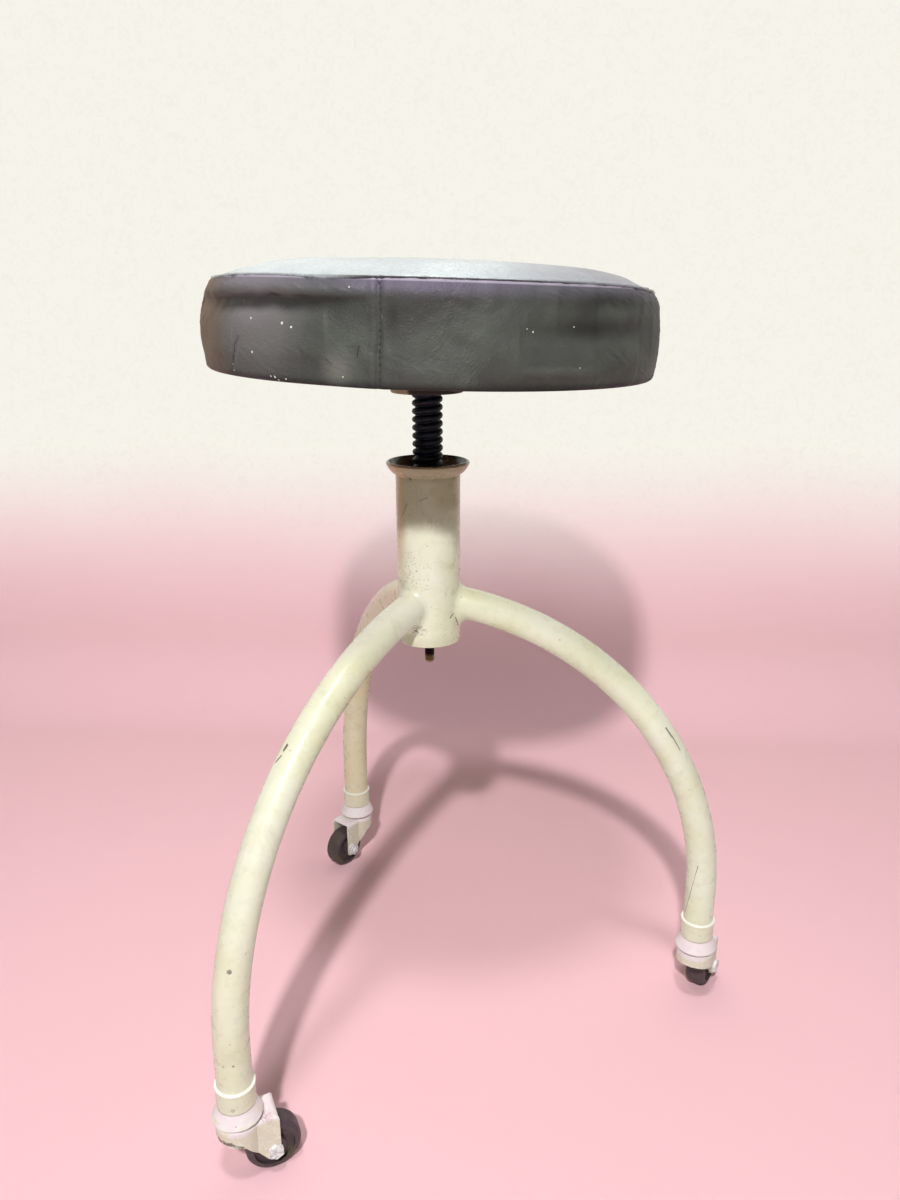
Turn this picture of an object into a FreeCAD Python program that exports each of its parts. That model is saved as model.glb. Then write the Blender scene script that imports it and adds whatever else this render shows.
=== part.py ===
import FreeCAD, Part
import math
import os

import Sketcher

# Screw-lift medical stool on three swivel casters.
# Millimetres. The origin is on the floor, on the column's axis, with +Z up.
# The legs were welded on by hand, so they stand a few degrees off a third of a turn.

SIZES = {
    # column
    "column_radius": 24.5,
    "column_wall": 2.5,
    "column_drop": 34.667,
    "column_length": 142.0,
    "column_edge_round": 0.8,
    "rim_radius": 31.7,
    "rim_height": 10.0,
    "rim_lip": 1.5,
    "rim_curve": 16.0,
    # lift nut, pressed into the column below its flared mouth
    "nut_length": 30.0,
    "nut_depth": 8.0,
    "nut_chamfer": 1.5,
    # legs and their welds
    "leg_radius": 12.5,
    "leg_wall": 1.5,
    "leg_bend": 263.0,
    "foot_radius": 232.0,
    "bend_height": 109.0,
    "weld_radius": 7.0,
    # ferrule, caster cup and stem socket
    "ferrule_wall": 1.25,
    "ferrule_length": 17.0,
    "bead_round": 0.9,
    "cup_lip_radius": 17.6,
    "cup_lip_height": 1.6,
    "cup_wall": 1.8,
    "cup_height": 11.2,
    "cup_gap": 2.2,
    "socket_length": 34.0,
    # caster fork
    "fork_top": 50.0,
    "fork_sheet": 2.0,
    "fork_crown_radius": 15.8,
    "fork_half_width": 11.8,
    "fork_reach": 26.6,
    "fork_skirt": 10.0,
    "fork_skirt_drop": 5.0,
    "fork_knee": 1.5,
    "fork_fold": 2.4,
    "fork_corner": 4.0,
    "arm_end_radius": 7.6,
    "arm_edge_back": 6.0,
    "arm_edge_low": 4.6,
    "race_radius": 13.2,
    "race_height": 2.0,
    # caster stem and ball race
    "stem_radius": 5.2,
    "stem_length": 45.0,
    "rivet_radius": 8.0,
    "rivet_height": 2.6,
    "ring_groove": 0.7,
    "ball_radius": 2.0,
    "ball_circle": 9.8,
    "ball_count": 10,
    # axle and wheel
    "trail": 22.5,
    "axle_radius": 3.0,
    "hex_across": 10.0,
    "bolt_head": 2.6,
    "axle_nut": 5.0,
    "bolt_stub": 1.6,
    "wheel_radius": 20.0,
    "tread_half_width": 8.6,
    "tread_round": 4.6,
    "rim_depth": 5.2,
    "web_half_width": 5.8,
    "hub_radius": 8.2,
    "bush_radius": 4.8,
    # lifting screw
    "screw_crest": 11.5,
    "screw_root": 9.2,
    "screw_pitch": 6.0,
    "screw_rise": 43.5,
    "crest_width": 2.4,
    "root_width": 4.2,
    "thread_clearance": 0.3,
    "screw_shank": 9.0,
    "screw_seat": 10.0,
    # stop at the foot of the screw
    "stud_radius": 4.3,
    "stud_drop": 20.0,
    "stud_grip": 20.0,
    "stud_round": 1.6,
    "stud_thread": 14.0,
    "stud_thread_radius": 3.9,
    "stud_relief": 1.5,
    "stud_relief_depth": 0.6,
    "stop_washer": 4.0,
    "stop_clearance": 0.4,
    "stop_nut_across": 13.0,
    "stop_nut_height": 6.5,
    # seat hub, plate and board
    "hub_rise": 50.5,
    "hub_height": 13.0,
    "hub_flange_radius": 34.0,
    "hub_flange": 4.0,
    "hub_boss_radius": 27.0,
    "hub_edge": 1.2,
    "plate_radius": 55.0,
    "plate_thickness": 4.0,
    "screw_circle": 44.0,
    "screw_count": 4,
    "wood_screw_radius": 2.4,
    "screw_head_radius": 4.8,
    "screw_head": 2.6,
    "screw_bite": 11.0,
    "board_radius": 155.0,
    "board_thickness": 15.0,
    "seat_lean": 1.8,
    "seat_offset": 3.0,
    # cushion
    "board_gap": 1.5,
    "band_bulge": 3.2,
    "band_mid_height": 25.0,
    "seam_draw": 4.4,
    "seam_height": 59.0,
    "crown_height": 17.5,
    "crown_shoulder": 13.5,
    "shoulder_width": 39.0,
    "shoulder_round": 78.0,
    "vinyl": 1.3,
    "seam_ridge": 1.7,
    "hem_width": 26.0,
    "hem_round": 3.0,
    "staple_count": 24,
    "staple_width": 10.0,
    "staple_wire": 1.0,
    # clearances
    "running": 0.05,
    "play": 0.1,
    "overrun": 2.0,
}

# Degrees about Z: where each leg stands, and which way its caster trails
LEG_ANGLES = {"right": 0.0, "rear": 115.0, "front": 238.0}
TRAIL_ANGLES = {"right": 59.0, "rear": 235.0, "front": 26.5}

UP = FreeCAD.Vector(0, 0, 1)
ACROSS = FreeCAD.Vector(0, 1, 0)
AHEAD = FreeCAD.Vector(1, 0, 0)

# How close counts as touching, and how many points of an edge are tried, where edges are chosen
TOUCH = 0.01
EDGE_SAMPLES = 7

doc = FreeCAD.newDocument("medical_stool")
sheet = doc.addObject("Spreadsheet::Sheet", "Sizes")
for row, (alias, number) in enumerate(SIZES.items(), start=1):
    sheet.set("A%d" % row, alias)
    sheet.set("B%d" % row, str(number))
    sheet.setAlias("B%d" % row, alias)
doc.recompute()


class Size:
    """A size that carries its number and the sheet expression that gives it."""

    def __init__(self, value, text):
        self.value = value
        self.text = text

    def __add__(self, other):
        other = as_size(other)
        return Size(self.value + other.value, "(%s + %s)" % (self.text, other.text))

    def __sub__(self, other):
        other = as_size(other)
        return Size(self.value - other.value, "(%s - %s)" % (self.text, other.text))

    def __mul__(self, other):
        other = as_size(other)
        return Size(self.value * other.value, "(%s * %s)" % (self.text, other.text))

    def __truediv__(self, other):
        other = as_size(other)
        return Size(self.value / other.value, "(%s / %s)" % (self.text, other.text))

    def __neg__(self):
        return Size(-self.value, "(-1 * %s)" % self.text)


def as_size(value):
    return value if isinstance(value, Size) else Size(float(value), repr(float(value)))


def root_of(size):
    return Size(math.sqrt(size.value), "sqrt(%s)" % size.text)


class Named:
    """The sheet's sizes, each under its own name."""


s = Named()
for alias in SIZES:
    setattr(s, alias, Size(float(sheet.get(alias)), "Sizes.%s" % alias))

sub_parts = []


# Helpers that place, sketch and bind


def bind(target, name, size):
    target.setExpression(name, as_size(size).text)


def turn_z(degrees):
    return FreeCAD.Placement(FreeCAD.Vector(), FreeCAD.Rotation(UP, degrees))


def shift(x=0, y=0, z=0):
    x, y, z = (as_size(value).value for value in (x, y, z))
    return FreeCAD.Placement(FreeCAD.Vector(x, y, z), FreeCAD.Rotation())


HOME = FreeCAD.Placement()


def keep(piece, label, place=HOME):
    """Makes an object of the document one of the stool's own pieces."""
    piece.Label = label
    piece.Placement = place
    sub_parts.append(piece)
    return piece


def new_body(label, place=HOME):
    return keep(doc.addObject("PartDesign::Body", label), label, place)


def plane_of(body, role):
    return [feature for feature in body.Origin.OriginFeatures if feature.Role == role][0]


def sketch_in(body, role, name, height=0):
    """A sketch on one of the body's own planes, raised by height along the plane's normal."""
    sketch = body.newObject("Sketcher::SketchObject", name)
    sketch.AttachmentSupport = (plane_of(body, role), [""])
    sketch.MapMode = "FlatFace"
    if isinstance(height, Size):
        bind(sketch, "AttachmentOffset.Base.z", height)
        sketch.AttachmentOffset = shift(z=height)
    return sketch


def arc_between(start, end, radius):
    """A counter-clockwise arc when radius is positive, and a clockwise one when it is negative."""
    chord = end - start
    half = chord.Length / 2
    to_centre = math.sqrt(max(radius * radius - half * half, 0.0))
    left = FreeCAD.Vector(-chord.y, chord.x, 0).normalize()
    centre = (start + end) / 2 + left * math.copysign(to_centre, radius)
    first, last = (start, end) if radius > 0 else (end, start)
    angles = [math.atan2(point.y - centre.y, point.x - centre.x) for point in (first, last)]
    circle = Part.Circle(centre, UP, abs(radius))
    return Part.ArcOfCircle(circle, angles[0], angles[1])


def pin_point(sketch, edge, end, x, y):
    """Holds one end of an edge at (x, y), bound to the sheet."""
    for kind, axis, size in (("DistanceX", -2, as_size(x)), ("DistanceY", -1, as_size(y))):
        if size.value == 0:
            sketch.addConstraint(Sketcher.Constraint("PointOnObject", edge, end, axis))
        else:
            index = sketch.addConstraint(Sketcher.Constraint(kind, edge, end, size.value))
            bind(sketch, "Constraints[%d]" % index, size)


def outline(sketch, corners, closed=True):
    """Draws through the corners. A corner's third value is the radius of the arc that leaves it."""
    points = [FreeCAD.Vector(as_size(c[0]).value, as_size(c[1]).value, 0) for c in corners]
    count = len(corners) if closed else len(corners) - 1
    first_edge = sketch.GeometryCount
    ends = []
    for i in range(count):
        start = points[i]
        end = points[(i + 1) % len(points)]
        radius = corners[i][2] if len(corners[i]) > 2 else None
        if radius is None:
            sketch.addGeometry(Part.LineSegment(start, end), False)
            ends.append((1, 2))
        else:
            sketch.addGeometry(arc_between(start, end, radius.value), False)
            ends.append((1, 2) if radius.value > 0 else (2, 1))
    for i in range(count if closed else count - 1):
        following = (i + 1) % count
        joint = (first_edge + i, ends[i][1], first_edge + following, ends[following][0])
        sketch.addConstraint(Sketcher.Constraint("Coincident", *joint))
    for i in range(count):
        pin_point(sketch, first_edge + i, ends[i][0], corners[i][0], corners[i][1])
        if len(corners[i]) > 2:
            radius = corners[i][2]
            size = radius if radius.value > 0 else -radius
            index = sketch.addConstraint(Sketcher.Constraint("Radius", first_edge + i, size.value))
            bind(sketch, "Constraints[%d]" % index, size)
    if not closed:
        pin_point(sketch, first_edge + count - 1, ends[-1][1], corners[-1][0], corners[-1][1])


def circle_at(sketch, radius, x=0, y=0):
    centre = FreeCAD.Vector(as_size(x).value, as_size(y).value, 0)
    edge = sketch.addGeometry(Part.Circle(centre, UP, radius.value), False)
    pin_point(sketch, edge, 3, x, y)
    index = sketch.addConstraint(Sketcher.Constraint("Radius", edge, radius.value))
    bind(sketch, "Constraints[%d]" % index, radius)


def hexagon_at(sketch, across, x=0, y=0):
    """A hexagon with two sides along the sketch's second axis."""
    half = across / 2
    corner = across / root_of(as_size(3))
    x, y = as_size(x), as_size(y)
    outline(sketch, [
        (x + half, y - corner / 2),
        (x + half, y + corner / 2),
        (x, y + corner),
        (x - half, y + corner / 2),
        (x - half, y - corner / 2),
        (x, y - corner),
    ])


def revolve(body, sketch):
    turn = body.newObject("PartDesign::Revolution", body.Name + "_turn")
    turn.Profile = sketch
    turn.ReferenceAxis = (sketch, ["V_Axis"])
    turn.Angle = 360
    sketch.Visibility = False
    body.Tip = turn
    return turn


def turned(label, corners, place=HOME, role="XZ_Plane"):
    """A piece turned about its own Z axis, or about its Y axis from a profile on XY_Plane."""
    body = new_body(label, place)
    sketch = sketch_in(body, role, label + "_profile")
    outline(sketch, corners)
    revolve(body, sketch)
    return body


def pad(body, sketch, length):
    feature = body.newObject("PartDesign::Pad", body.Name + "_pad")
    feature.Profile = sketch
    bind(feature, "Length", length)
    body.Tip = feature
    return feature


def pocket_through(body, sketch):
    feature = body.newObject("PartDesign::Pocket", body.Name + "_cut")
    feature.Profile = sketch
    feature.Type = "ThroughAll"
    feature.SideType = "Symmetric"
    body.Tip = feature
    return feature


def extrusion(name, place, corners, length, symmetric=False):
    """A plain extrusion of an outline, used as one operand of a boolean."""
    sketch = doc.addObject("Sketcher::SketchObject", name + "_outline")
    sketch.Placement = place
    outline(sketch, corners)
    solid = doc.addObject("Part::Extrusion", name)
    solid.Base = sketch
    solid.DirMode = "Normal"
    solid.Solid = True
    solid.Symmetric = symmetric
    bind(solid, "LengthFwd", length)
    return solid


def cylinder(name, radius, height, place=HOME):
    solid = doc.addObject("Part::Cylinder", name)
    bind(solid, "Radius", radius)
    bind(solid, "Height", height)
    solid.Placement = place
    return solid


def boolean(kind, name, base, tools):
    """Part::Cut, Part::MultiFuse or Part::MultiCommon over the given objects."""
    if kind == "Part::Cut":
        for number, tool in enumerate(tools):
            cut = doc.addObject(kind, "%s_%d" % (name, number))
            cut.Base = base
            cut.Tool = tool
            base = cut
        return base
    result = doc.addObject(kind, name)
    result.Shapes = [base] + list(tools)
    return result


# Heights that follow the legs


def legs_meet():
    """Height at which the legs' arcs run in to the column's axis."""
    arc_x = s.foot_radius - s.leg_bend
    return s.bend_height + root_of(s.leg_bend * s.leg_bend - arc_x * arc_x)


def column_bottom():
    return legs_meet() - s.column_drop


def column_top():
    return column_bottom() + s.column_length


def screw_bottom():
    return column_bottom() + s.screw_rise


def stud_bottom():
    return column_bottom() - s.stud_drop


def hub_bottom():
    return column_top() + s.hub_rise


# Column


def column_tube():
    """The column, with its mouth spread into a slightly rounded cone that ends in a rolled lip."""
    bore = s.column_radius - s.column_wall
    mouth_foot = column_top() - s.rim_height
    edge = s.column_edge_round
    return turned("column_tube", [
        (bore, column_bottom()),
        (s.column_radius - edge, column_bottom(), edge),
        (s.column_radius, column_bottom() + edge),
        (s.column_radius, mouth_foot, s.rim_curve),
        (s.rim_radius, column_top() - s.rim_lip, s.column_wall),
        (s.rim_radius - s.column_wall, column_top(), s.column_wall - s.rim_curve),
        (bore, mouth_foot + s.column_wall / 2),
    ])


def thread_ridge(body, height, base_radius, crest_radius, base_width, crest_width, start, cutting):
    """Adds or cuts one right-handed helical ridge about the body's Z axis."""
    sketch = sketch_in(body, "XZ_Plane", body.Name + "_thread")
    outline(sketch, [
        (base_radius, start - base_width / 2),
        (crest_radius, start - crest_width / 2),
        (crest_radius, start + crest_width / 2),
        (base_radius, start + base_width / 2),
    ])
    kind = "PartDesign::SubtractiveHelix" if cutting else "PartDesign::AdditiveHelix"
    helix = body.newObject(kind, body.Name + "_helix")
    helix.Profile = sketch
    helix.ReferenceAxis = (sketch, ["V_Axis"])
    helix.Mode = 0
    bind(helix, "Pitch", s.screw_pitch)
    bind(helix, "Height", height)
    helix.LeftHanded = False
    sketch.Visibility = False
    body.Tip = helix
    return helix


def lift_nut():
    """The threaded bush that carries the screw. Its groove is in step with the screw's ridge."""
    outer = s.column_radius - s.column_wall
    inner = s.screw_root + s.thread_clearance
    groove = s.screw_crest + s.thread_clearance
    top = column_top() - s.nut_depth
    bottom = top - s.nut_length
    mouth = s.nut_chamfer
    nut = turned("lift_nut", [
        (inner, bottom + mouth),
        (inner + mouth, bottom),
        (outer - mouth, bottom),
        (outer, bottom + mouth),
        (outer, top - mouth),
        (outer - mouth, top),
        (inner + mouth, top),
        (inner, top - mouth),
    ])
    turns_below = math.floor((bottom - screw_bottom()).value / s.screw_pitch.value) - 1
    start = screw_bottom() + s.screw_pitch * turns_below
    length = top + s.screw_pitch - start
    side = s.thread_clearance * 2
    thread_ridge(nut, length, inner - s.overrun / 2, groove, s.root_width + side + s.overrun / 2,
                 s.crest_width + side, start, cutting=True)
    return nut


# Legs and welds


def leg_spine(body):
    """Straight up from the foot, then one arc that runs in to the column's axis."""
    path = sketch_in(body, "XZ_Plane", body.Name + "_path")
    outline(path, [
        (s.foot_radius, leg_foot()),
        (s.foot_radius, s.bend_height, s.leg_bend),
        (0, legs_meet()),
    ], closed=False)
    return path


def sweep_leg(body, with_bore):
    path = leg_spine(body)
    section = sketch_in(body, "XY_Plane", body.Name + "_section", leg_foot())
    circle_at(section, s.leg_radius, s.foot_radius)
    if with_bore:
        circle_at(section, s.leg_radius - s.leg_wall, s.foot_radius)
    pipe = body.newObject("PartDesign::AdditivePipe", body.Name + "_pipe")
    pipe.Profile = section
    pipe.Spine = (path, ["Edge1", "Edge2"])
    for sketch in (path, section):
        sketch.Visibility = False
    body.Tip = pipe
    return pipe


def leg_tube(name, azimuth):
    body = new_body("leg_tube_" + name, turn_z(azimuth))
    sweep_leg(body, with_bore=True)
    cope = sketch_in(body, "XY_Plane", body.Name + "_cope")
    circle_at(cope, s.column_radius)
    pocket_through(body, cope)
    return body


def leg_welds():
    """The fillet weld round each leg: the filleted union of column and legs, less that union."""
    column = cylinder("weld_column", s.column_radius, column_top() - column_bottom(),
                      shift(z=column_bottom()))
    legs = []
    for name, azimuth in LEG_ANGLES.items():
        solid = doc.addObject("PartDesign::Body", "weld_leg_" + name)
        sweep_leg(solid, with_bore=False)
        solid.Placement = turn_z(azimuth)
        legs.append(solid)
    union = boolean("Part::MultiFuse", "weld_union", column, legs)
    doc.recompute()
    rounded = doc.addObject("Part::Fillet", "weld_rounded")
    rounded.Base = union
    radius = s.weld_radius.value
    rounded.Edges = [(number, radius, radius) for number in saddle_edges(union.Shape)]
    welds = doc.addObject("Part::Cut", "leg_welds")
    welds.Base = rounded
    welds.Tool = union
    return keep(welds, "leg_welds")


def is_steady(values):
    return max(values) - min(values) < TOUCH


def saddle_edges(shape):
    """Numbers of the edges where a leg meets the column's wall, which are neither level nor upright."""
    found = []
    for number, edge in enumerate(shape.Edges, start=1):
        samples = edge.discretize(EDGE_SAMPLES)
        on_wall = all(abs(math.hypot(p.x, p.y) - s.column_radius.value) < TOUCH for p in samples)
        level = is_steady([p.z for p in samples])
        upright = is_steady([p.x for p in samples]) and is_steady([p.y for p in samples])
        if on_wall and not level and not upright:
            found.append(number)
    return found


# Foot of each leg: ferrule, cup and socket


def cup_bottom():
    return s.fork_top + s.cup_gap


def race_top():
    """Height of the fork's raised race, on which the balls run."""
    return s.fork_top + s.race_height


def cup_ceiling():
    """Height of the cup's web over the balls."""
    return race_top() + s.ball_radius * 2 + s.running * 2


def leg_foot():
    """Height of the cup's top face, which the leg tube, ferrule and socket stand on."""
    return cup_bottom() + s.cup_height


def foot_place(azimuth):
    return turn_z(azimuth) * shift(x=s.foot_radius)


def leg_ferrule(name, azimuth):
    inner = s.leg_radius
    outer = s.leg_radius + s.ferrule_wall
    foot = leg_foot()
    top = foot + s.ferrule_length
    bead = s.bead_round
    return turned("leg_ferrule_" + name, [
        (inner, foot),
        (outer, foot),
        (outer, top - bead * 2, bead + s.running),
        (outer, top),
        (inner, top),
    ], foot_place(azimuth))


def caster_cup(name, azimuth):
    """The flared ring at the foot of the leg. Its skirt covers the ball race."""
    low = cup_bottom()
    high = leg_foot()
    hole = s.stem_radius + s.play
    neck = s.leg_radius + s.ferrule_wall + s.running
    lip = s.cup_lip_radius
    return turned("caster_cup_" + name, [
        (hole, cup_ceiling()),
        (lip - s.cup_wall, cup_ceiling()),
        (lip - s.cup_wall, low),
        (lip - s.cup_lip_height / 2, low, s.cup_lip_height),
        (lip, low + s.cup_lip_height),
        (neck, high - s.cup_lip_height / 2),
        (neck, high),
        (hole, high),
    ], foot_place(azimuth))


def stem_socket(name, azimuth):
    bore = s.stem_radius + s.running
    outer = s.leg_radius - s.leg_wall
    low = leg_foot()
    edge = s.nut_chamfer / 2
    return turned("stem_socket_" + name, [
        (bore, low),
        (outer, low),
        (outer, low + s.socket_length - edge),
        (outer - edge, low + s.socket_length),
        (bore, low + s.socket_length),
    ], foot_place(azimuth))


# Caster: fork, stem, balls, axle and wheel


def swivel_place(name):
    """A caster's own frame: the stem's axis on the floor, with X in the trailing direction."""
    foot = foot_place(LEG_ANGLES[name]).Base
    return FreeCAD.Placement(foot, FreeCAD.Rotation(UP, TRAIL_ANGLES[name]))


def fork_plan(inset, reach):
    """The fork from above: a round crown behind the stem that runs in to two straight arms."""
    crown = s.fork_crown_radius - inset
    half = s.fork_half_width - inset
    join = root_of(crown * crown - half * half)
    return [
        (reach, -half),
        (reach, half),
        (join, half, crown),
        (-crown, 0, crown),
        (join, -half),
    ]


def fork_side():
    """The pressing seen from the side: skirt behind, a straight-edged arm to the axle, plate on top."""
    top = s.fork_top
    crown = s.fork_crown_radius + s.overrun
    end = s.arm_end_radius
    axle = s.wheel_radius
    skirt = top - s.fork_skirt
    knee = skirt - s.fork_skirt_drop
    return [
        (-crown, top),
        (-crown, skirt),
        (s.fork_knee, knee),
        (s.trail - s.arm_edge_back, axle - s.arm_edge_low, end + s.running),
        (s.trail, axle - end, end + s.running),
        (s.trail + end, axle),
        (s.fork_reach, top - s.fork_corner, s.fork_corner),
        (s.fork_reach - s.fork_corner, top),
    ]


def caster_fork(name):
    upright = FreeCAD.Placement(FreeCAD.Vector(), FreeCAD.Rotation(AHEAD, 90))
    low = s.wheel_radius - s.arm_end_radius - s.overrun
    tall = s.fork_top - low
    plan = extrusion("fork_plan_" + name, shift(z=low), fork_plan(as_size(0), s.fork_reach), tall)
    side = extrusion("fork_side_" + name, upright, fork_side(), s.fork_crown_radius * 2 + s.overrun,
                     symmetric=True)
    doc.recompute()
    folded = doc.addObject("Part::Fillet", "fork_folded_" + name)
    folded.Base = plan
    fold = s.fork_fold.value
    folded.Edges = [(number, fold, fold) for number in rim_edges(plan.Shape)]
    blank = boolean("Part::MultiCommon", "fork_blank_" + name, folded, [side])
    race = cylinder("fork_race_" + name, s.race_radius, s.race_height + s.fork_sheet,
                    shift(z=s.fork_top - s.fork_sheet))
    pressed = boolean("Part::MultiFuse", "fork_pressed_" + name, blank, [race])
    inner = extrusion("fork_inner_" + name, shift(z=low), fork_plan(s.fork_sheet, s.fork_reach + s.overrun),
                      tall - s.fork_sheet)
    hole = cylinder("fork_hole_" + name, s.stem_radius, s.fork_top, shift(z=low))
    side_way = FreeCAD.Rotation(AHEAD, -90)
    reach = s.fork_half_width + s.overrun
    start = FreeCAD.Vector(s.trail.value, -reach.value, s.wheel_radius.value)
    axle = cylinder("fork_axle_hole_" + name, s.axle_radius, reach * 2, FreeCAD.Placement(start, side_way))
    fork = boolean("Part::Cut", "fork_cut_" + name, pressed, [inner, hole, axle])
    return keep(fork, "caster_fork_" + name, swivel_place(name))


def rim_edges(shape):
    """Numbers of the level edges round the top of the fork's blank, but not its front end."""
    found = []
    for number, edge in enumerate(shape.Edges, start=1):
        samples = edge.discretize(EDGE_SAMPLES)
        on_top = all(abs(p.z - s.fork_top.value) < TOUCH for p in samples)
        if on_top and not is_steady([p.x for p in samples]):
            found.append(number)
    return found


def caster_stem(name):
    """The stem, riveted under the fork's plate, with a groove for its grip ring."""
    under = s.fork_top - s.fork_sheet
    top = s.fork_top + s.stem_length
    groove = s.ring_groove
    chamfer = groove * 2
    ring_top = top - chamfer * 3
    ring_foot = ring_top - chamfer
    return turned("caster_stem_" + name, [
        (0, under - s.rivet_height),
        (s.rivet_radius - chamfer, under - s.rivet_height),
        (s.rivet_radius, under - s.rivet_height + chamfer),
        (s.rivet_radius, under),
        (s.stem_radius, under),
        (s.stem_radius, ring_foot),
        (s.stem_radius - groove, ring_foot),
        (s.stem_radius - groove, ring_top),
        (s.stem_radius, ring_top),
        (s.stem_radius, top - chamfer),
        (s.stem_radius - chamfer, top),
        (0, top),
    ], swivel_place(name))


def race_balls(name):
    """A ring of loose balls between the fork's race and the cup's web."""
    balls = []
    height = race_top() + s.running + s.ball_radius
    count = int(s.ball_count.value)
    for number in range(count):
        ball = doc.addObject("Part::Sphere", "ball_%s_%d" % (name, number))
        bind(ball, "Radius", s.ball_radius)
        ball.Placement = turn_z(360.0 * number / count) * shift(x=s.ball_circle, z=height)
        balls.append(ball)
    group = doc.addObject("Part::Compound", "race_balls_" + name)
    group.Links = balls
    return keep(group, "race_balls_" + name, swivel_place(name))


def axle_place(name):
    return swivel_place(name) * shift(x=s.trail, z=s.wheel_radius)


def axle_bolt(name):
    """A hex-headed bolt through both arms and the wheel. Its head is on the right-hand arm."""
    body = new_body("axle_bolt_" + name, axle_place(name))
    head = sketch_in(body, "XZ_Plane", body.Name + "_head", s.fork_half_width)
    hexagon_at(head, s.hex_across)
    pad(body, head, s.bolt_head)
    shank = sketch_in(body, "XZ_Plane", body.Name + "_shank", s.fork_half_width)
    circle_at(shank, s.axle_radius)
    reach = pad(body, shank, s.fork_half_width * 2 + s.axle_nut + s.bolt_stub)
    reach.Reversed = True
    return body


def axle_nut(name):
    body = new_body("axle_nut_" + name, axle_place(name))
    section = sketch_in(body, "XZ_Plane", body.Name + "_section", -s.fork_half_width)
    hexagon_at(section, s.hex_across)
    circle_at(section, s.axle_radius)
    pad(body, section, s.axle_nut).Reversed = True
    return body


def caster_wheel(name):
    """A moulded hard-rubber wheel: round-shouldered tread, thin web and a raised hub."""
    tread = s.tread_half_width
    shoulder = s.tread_round
    web = s.web_half_width
    inside = s.wheel_radius - s.rim_depth
    hub = s.fork_half_width - s.fork_sheet - s.play * 4
    return turned("caster_wheel_" + name, [
        (s.bush_radius, -hub),
        (s.hub_radius, -hub),
        (s.hub_radius, -web),
        (inside, -web),
        (inside + s.running, -tread),
        (s.wheel_radius - shoulder, -tread, shoulder),
        (s.wheel_radius, -tread + shoulder),
        (s.wheel_radius, tread - shoulder, shoulder),
        (s.wheel_radius - shoulder, tread),
        (inside + s.running, tread),
        (inside, web),
        (s.hub_radius, web),
        (s.hub_radius, hub),
        (s.bush_radius, hub),
    ], axle_place(name), "XY_Plane")


def wheel_bush(name):
    half = s.fork_half_width - s.fork_sheet - s.play * 2
    return turned("wheel_bush_" + name, [
        (s.axle_radius + s.running, -half),
        (s.bush_radius, -half),
        (s.bush_radius, half),
        (s.axle_radius + s.running, half),
    ], axle_place(name), "XY_Plane")


# Lifting screw and its stop


def lift_spindle():
    """The lifting screw: a threaded length, a shank pressed into the hub and a drilled foot."""
    crest = s.screw_crest
    low = screw_bottom()
    high = hub_bottom()
    screw = turned("lift_spindle", [
        (s.stud_radius, low),
        (s.screw_root, low),
        (s.screw_root, high),
        (s.screw_shank, high),
        (s.screw_shank, high + s.screw_seat),
        (0, high + s.screw_seat),
        (0, low + s.stud_grip),
        (s.stud_radius, low + s.stud_grip),
    ])
    start = low + s.screw_pitch
    length = high - low - s.screw_pitch * 2 + s.crest_width
    thread_ridge(screw, length, s.screw_root - s.thread_clearance, crest,
                 s.root_width, s.crest_width, start, cutting=False)
    return screw


def stop_stud():
    """The rod that hangs below the column, screwed into the spindle's foot. Its free end is threaded."""
    top = screw_bottom() + s.stud_grip
    tip = s.stud_round
    thread_end = stud_bottom() + s.stud_thread
    relief = s.stud_thread_radius - s.stud_relief_depth
    return turned("stop_stud", [
        (0, stud_bottom()),
        (s.stud_thread_radius - tip, stud_bottom(), tip + s.running),
        (s.stud_thread_radius, stud_bottom() + tip),
        (s.stud_thread_radius, thread_end),
        (relief, thread_end),
        (relief, thread_end + s.stud_relief),
        (s.stud_radius, thread_end + s.stud_relief),
        (s.stud_radius, top),
        (0, top),
    ])


def stop_washer():
    """The collar that rides in the column and meets the lift nut at the top of the travel."""
    outer = s.column_radius - s.column_wall - s.stop_clearance
    top = screw_bottom() - s.play
    low = top - s.stop_washer
    edge = s.column_edge_round
    return turned("stop_washer", [
        (s.stud_radius + s.running, low),
        (outer - edge, low),
        (outer, low + edge),
        (outer, top - edge),
        (outer - edge, top),
        (s.stud_radius + s.running, top),
    ])


def stop_nut():
    body = new_body("stop_nut")
    top = screw_bottom() - s.play * 2 - s.stop_washer
    section = sketch_in(body, "XY_Plane", "stop_nut_section", top)
    hexagon_at(section, s.stop_nut_across)
    circle_at(section, s.stud_radius)
    pad(body, section, s.stop_nut_height).Reversed = True
    return body


# Seat: hub, plate, screws, board and cushion


def hub_top():
    return hub_bottom() + s.hub_height


def seat_place():
    """The seat's own frame: on top of the hub, a little off its axis and leaning down towards +X."""
    lean = FreeCAD.Rotation(ACROSS, s.seat_lean.value)
    return shift(x=s.seat_offset, z=hub_top()) * FreeCAD.Placement(FreeCAD.Vector(), lean)


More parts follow.
